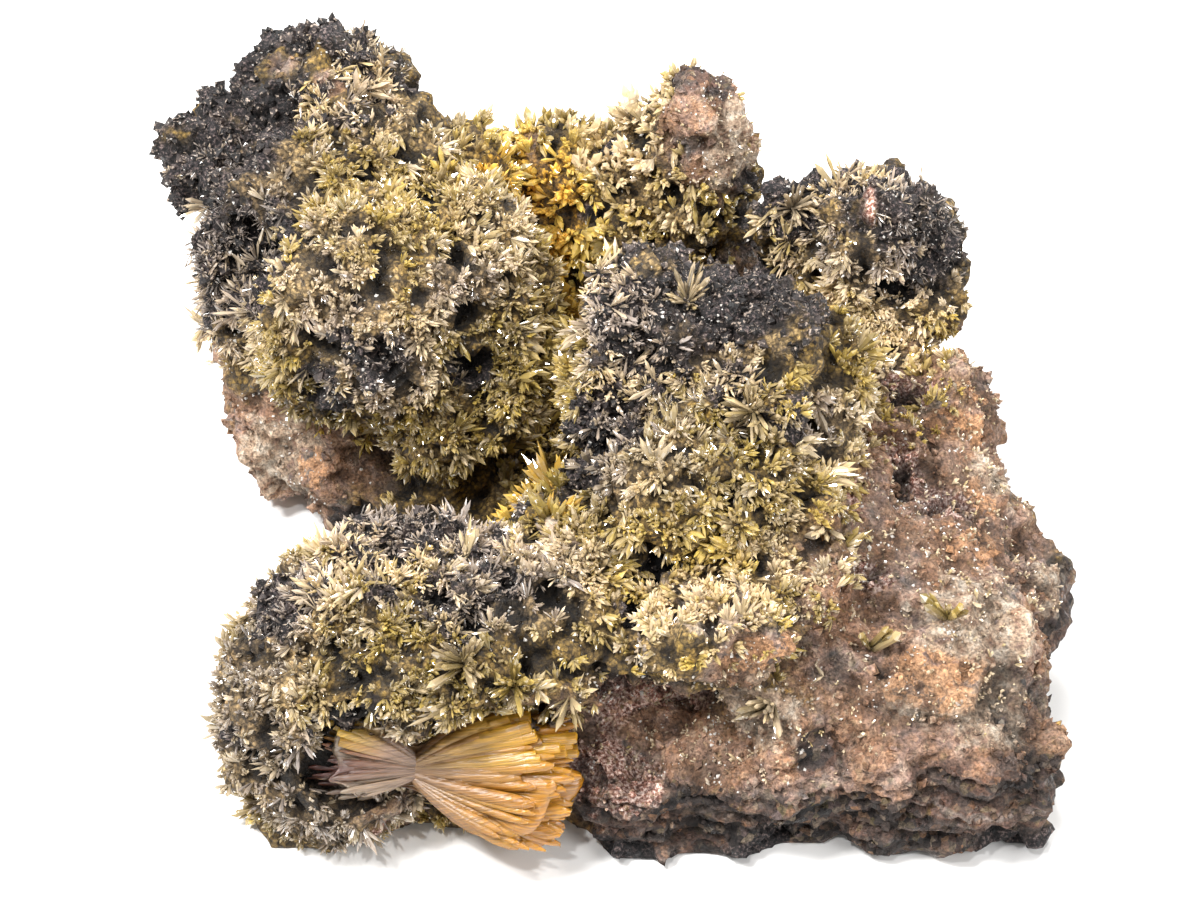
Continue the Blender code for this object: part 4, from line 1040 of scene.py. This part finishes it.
def amberSheaf():
    # the sheaf's amber prisms: warm, waxy glow, fine growth lines along the blades, glassy ends
    material, tree = newMaterial("amber mimetite")
    hue, shade, dull, _ = channelsOf(tree, "tint")
    grain = addNode(tree, "UVMap", uv_map="grain")
    stretch = addNode(tree, "Mapping", {"Vector": grain, "Scale": amber["lines"]})
    lines = addNode(tree, "TexNoise", {"Vector": stretch, "Scale": 1.0, "Detail": 5.0})
    apart = addNode(tree, "SeparateXYZ", [grain], "Y")   # mm along the blade
    close = addNode(tree, "MapRange", [apart, 1.5, 8.0, 1.2, 0.0])
    nearWaist = addNode(tree, "Math", [close, dull], operation="MULTIPLY")
    body = layered(tree, addNode(tree, "ValToRGB", [hue], stops=amber["tones"]), (nearWaist, amber["waist"]))
    # darker towards the waist and brighter towards the ends: painted shade and painted light along the blades; then the
    # growth lines and each blade's own tone
    body = shadedBy(tree, body, (lines, 0.5, 1.55, 0.28, 0.72), (apart, 0.62, 1.12, 0.0, 13.0), (shade, 0.86, 1.06))
    glassy = addNode(tree, "MapRange", [apart, 8.5, 13.5, 0.4, 0.1])   # waxy flanks, bright ends
    bump = addNode(tree, "Bump", {"Height": lines, "Strength": 0.7, "Distance": 0.14 * mm})
    finishSurface(tree, {
        "Base Color": body, "Roughness": glassy, "IOR": 1.75, "Transmission Weight": 0.12, "Subsurface Weight": 0.2,
        "Subsurface Scale": 1.2 * mm, "Subsurface Radius": (1.0, 0.55, 0.18), "Normal": bump})
    return material


oxide = {"tones": [(0.36, "#0b0908"), (0.5, "#1f1918"), (0.64, "#463b37")], "specks": "#b5a394"}


def manganeseOxide():
    # earthy black oxide: almost black with a violet-brown cast, dull, finely grained, a few bright specks
    material, tree = newMaterial("manganese oxide")
    fine = grainOf(tree, 0.35)
    body = addNode(tree, "ValToRGB", [grainOf(tree, 2.5)], stops=oxide["tones"])
    body = layered(tree, body, (addNode(tree, "MapRange", [fine, 0.56, 0.63, 0.0, 0.85]), oxide["specks"]))
    bump = addNode(tree, "Bump", {"Height": fine, "Strength": 0.9, "Distance": 0.25 * mm})
    finishSurface(tree, {
        "Base Color": body, "Roughness": addNode(tree, "MapRange", [fine, 0.0, 1.0, 0.4, 0.8]), "Normal": bump})
    return material


def druseWithPaintedGlints():
    # tiny clear crystals over the rock and the oxide: glassy, they catch the light as sparks, and their near-white
    # colour is a painted highlight as well
    material, tree = newMaterial("druse with painted glints")
    finishSurface(tree, {"Base Color": toLinear("#fbf6ee"), "Roughness": 0.04, "IOR": 1.8, "Transmission Weight": 0.35})
    return material


def masked(tree, weight, pattern, spread):  # a stain's weight with the pattern's lumps bitten out of it
    bite = addNode(tree, "MapRange", [pattern, 0.3, 0.7, -spread, spread], clamp=False)
    both = addNode(tree, "Math", [weight, bite], operation="ADD")
    cut = addNode(tree, "MapRange", [both, 0.4, 0.75], interpolation_type="SMOOTHSTEP")
    return addNode(tree, "Math", [cut, weight], operation="MULTIPLY")


gossan = {  # colours along each pattern, darkest first; the hollow colour is painted shade
    "body": [(0.36, "#2f211a"), (0.44, "#69503f"), (0.54, "#947259"), (0.66, "#c2a68e")],
    "patches": [(0.36, "#857f7a"), (0.43, "#b8998a"), (0.5, "#a98468"), (0.56, "#8f6849"), (0.62, "#bd9f88"),
                (0.7, "#7a6e65")],
    "grains": [(0.1, "#6e4a3a"), (0.3, "#9c8580"), (0.5, "#c08a5e"), (0.75, "#d6bda2"), (0.95, "#8d7b45")],
    "beds": [(0.32, "#110e0d"), (0.43, "#2c2421"), (0.52, "#4b403a"), (0.6, "#613c27"), (0.7, "#857970")],
    "bedGrains": [(0.35, "#1b1615"), (0.5, "#4a3e39"), (0.65, "#6f6059")],
    "maroon": [(0.38, "#824b39"), (0.48, "#b98370"), (0.58, "#e8cdc0")],
    "milky": [(0.35, "#8a6f5c"), (0.5, "#b39a82"), (0.62, "#cbbba8")],
    "black": [(0.38, "#0c0a0b"), (0.52, "#262021"), (0.66, "#6a5c58")],
    "ruddy": "#9c6e54", "orange": "#cf9b70", "hollow": "#1c140f", "crystalSoil": "#e3d5b6",
    "bedLines": (110, 110, 700),   # waves to a metre across and up
}


def brokenColours(tree, pattern, tones, size):  # colours along a pattern, with some grains of other colours
    place = addNode(tree, "TexCoord", output="Object")
    cells = addNode(tree, "TexVoronoi", {"Vector": place, "Scale": 1 / (size * mm)}, "Color")
    chance, pick, _ = addNode(tree, "SeparateColor", [cells]).node.outputs
    share = addNode(tree, "MapRange", [chance, 0.45, 0.9, 0.0, 0.7])
    other = addNode(tree, "ValToRGB", [pick], stops=gossan["grains"])
    return layered(tree, addNode(tree, "ValToRGB", [pattern], stops=gossan[tones]), (share, other))


def gossanRock():
    # iron-stained gossan: granular tan and pinkish limonite, stained orange, milky, red and black, with painted brown
    # shade in its hollows
    material, tree = newMaterial("gossan rock")
    fine, middle, broad = grainOf(tree, 0.3, 5.0), grainOf(tree, 1.3, 5.0), grainOf(tree, 5.0)
    black, orange, milky, maroon = channelsOf(tree, "stain")
    grey, bare, hollow, relief = channelsOf(tree, "cast")
    chance, away, facet = facetsOf(tree, 0.42)

    # the crust's ground: tiny crystals of its own tones, with painted shade between them
    soil = addNode(tree, "ValToRGB", [channelsOf(tree, "tint")[0]], stops=prism["tones"])
    tinted = {0: 1.0, 6: soil, 7: toLinear(gossan["crystalSoil"])}
    soil = addNode(tree, "Mix", tinted, 2, data_type="RGBA", blend_type="MULTIPLY")
    soil = shadedBy(tree, soil, (chance["Green"], 0.1, 1.2), (away, 1.1, 0.3, 0.25, 0.75))

    # the grey beds along the foot
    flat = addNode(tree, "Mapping", {"Vector": addNode(tree, "TexCoord", output="Object"), "Scale": gossan["bedLines"]})
    beds = addNode(tree, "TexNoise", {"Vector": flat, "Scale": 1.0, "Detail": 5.0})
    bedded = addNode(tree, "ValToRGB", [beds], stops=gossan["beds"])
    bedded = layered(tree, bedded, (0.4, brokenColours(tree, beds, "bedGrains", 0.6)))

    body = layered(
        tree, brokenColours(tree, middle, "body", 0.5),
        (0.5, addNode(tree, "ValToRGB", [broad], stops=gossan["patches"])),
        (addNode(tree, "MapRange", [broad, 0.42, 0.65, 0.0, 0.3]), gossan["ruddy"]),
        (addNode(tree, "MapRange", [bare, 0.0, 1.0, 0.95, 0.0]), soil),
        (masked(tree, grey, middle, 0.3), bedded),
        (masked(tree, maroon, middle, 0.6), brokenColours(tree, fine, "maroon", 0.35)),
        (masked(tree, milky, middle, 0.8), addNode(tree, "ValToRGB", [middle], stops=gossan["milky"])),
        (addNode(tree, "MapRange", [masked(tree, orange, middle, 1.25), 0.0, 1.0, 0.0, 0.82]), gossan["orange"]),
        (masked(tree, black, middle, 0.25), addNode(tree, "ValToRGB", [fine], stops=gossan["black"])),
        # painted shade in the hollows and round the groups
        (addNode(tree, "MapRange", [hollow, 0.0, 1.0, 0.0, 0.8]), gossan["hollow"]))
    # painted shade on the low ground and painted light on the high ground, then the grain's and the facets' own tones
    body = shadedBy(tree, body, (relief, 0.25, 1.35), (fine, 0.45, 1.5, 0.34, 0.66), (chance["Blue"], 0.78, 1.18))
    tilted = addNode(tree, "Bump", {"Height": facet, "Strength": 0.75, "Distance": 1.0})
    bump = addNode(tree, "Bump", {"Height": fine, "Strength": 1.0, "Distance": 0.45 * mm, "Normal": tilted})
    gloss = addNode(tree, "MapRange", [chance["Red"], 0.7, 1.0, 0.8, 0.22])   # a few of the facets shine
    finishSurface(tree, {"Base Color": body, "Roughness": gloss, "Normal": bump})
    return material


# the object

prismMaterial = mimetitePrisms("mimetite prisms", 0.12, (0.04, 0.26))
groupMaterial = mimetitePrisms("mimetite groups", 0.35, (0.04, 0.2))
rockMaterial = gossanRock()
oxideMaterial = manganeseOxide()

keepOut = [treeOf(weldedCopy(node)) for node in ["mimetite_bow_tie_sheaf"] + [entry[0] for entry in groups.values()]]
skin = fusedSkin()
survey = surveyGround(skin, shapeGround(skin, keepOut))
survey["heart"] = heartOfSheaf()
skinCopy = bmesh.new()
skinCopy.from_mesh(skin)
skinTree = treeOf(skinCopy)
addPiece("gossan_rock", skin, ["matrix_rock"], rockMaterial)
print("ground", len(skin.polygons), "faces")

for name, look in growths.items():
    growCrystals(name, dict(crust, **look), survey, keepOut, prismMaterial)

centres = survey["centres"]
for name, look in granules.items():
    weight = inBlobs(centres, look["where"], edge=0.1) * survey["black"] ** 2
    scatterGrains(name, look["nodes"], look, weight, survey, oxideMaterial, "manganese_oxide")

weight = survey["bare"] * (1 - survey["black"]) * smooth(0.6, 1.6, centres[:, 2])
scatterGrains("rock_grit", [], grit, weight, survey, rockMaterial, "gossan_rock")

weight = inBlobs(centres, sparks["where"], edge=0.3, wander=0.4, grain=3, seed=6)
weight *= 0.15 + 0.85 * np.maximum(survey["bare"], survey["black"]) * smooth(0.0, 0.4, noiseAt(centres, 2.6, 8))
scatterGrains("druse_with_painted_glints", [], sparks, weight, survey, druseWithPaintedGlints(), "pale_mimetite")

growSheaf(amberSheaf())
for name, entry in groups.items():
    dressGroup(name, entry, skinTree, groupMaterial)
print("crystal groups", len(groups))


# floor, light and camera

studio = {
    "floorColour": "#f4f3f1", "floorSize": 1.2, "floorDrop": 0.02,   # m across, mm below the specimen
    "aim": (-1.9, 1.5, 16.2), "elevation": 42, "distance": 238.4, "lens": 80,
    "lights": {  # place and size in mm, strength in watts
        "key": ((-160, -60, 300), 80, 1.6), "fill": ((220, -160, 180), 140, 0.5), "rear": ((40, 240, 260), 110, 0.9),
        "glint_left": ((-60, -140, 260), 12, 0.25), "glint_right": ((110, 20, 260), 12, 0.25),
    },
    "sky": "#ffffff", "skyStrength": 0.42,
}


def aimedAt(target, name, data, place):  # a lamp or camera at this place, turned to the target
    thing = bpy.data.objects.new(name, data)
    thing.location = place
    thing.rotation_euler = (target - thing.location).to_track_quat("-Z", "Y").to_euler()
    bpy.context.scene.collection.objects.link(thing)
    return thing


def buildStudio():
    scene = bpy.context.scene
    bpy.ops.mesh.primitive_plane_add(size=studio["floorSize"])
    floor = bpy.context.object
    floor.name = "floor"
    floor.location.z = -studio["floorDrop"] * mm
    material, tree = newMaterial("pale card floor")
    finishSurface(tree, {"Base Color": toLinear(studio["floorColour"]), "Roughness": 0.9})
    floor.data.materials.append(material)
    target = Vector(studio["aim"]) * mm
    for name, (place, size, power) in studio["lights"].items():
        light = bpy.data.lights.new(name, "AREA")
        light.size = size * mm
        light.energy = power
        aimedAt(target, name, light, Vector(place) * mm)
    world = bpy.data.worlds.new("studio")
    world.use_nodes = True
    backdrop = world.node_tree.nodes["Background"]
    backdrop.inputs["Color"].default_value = toLinear(studio["sky"])
    backdrop.inputs["Strength"].default_value = studio["skyStrength"]
    scene.world = world
    scene.view_settings.view_transform = "Standard"
    lens = bpy.data.cameras.new("camera")
    lens.lens = studio["lens"]
    lens.sensor_width = 36
    lens.clip_start = 0.01
    rise = math.radians(studio["elevation"])
    place = target + Vector((0, -math.cos(rise), math.sin(rise))) * studio["distance"] * mm
    scene.camera = aimedAt(target, "camera", lens, place)
    print("studio ready")


buildStudio()
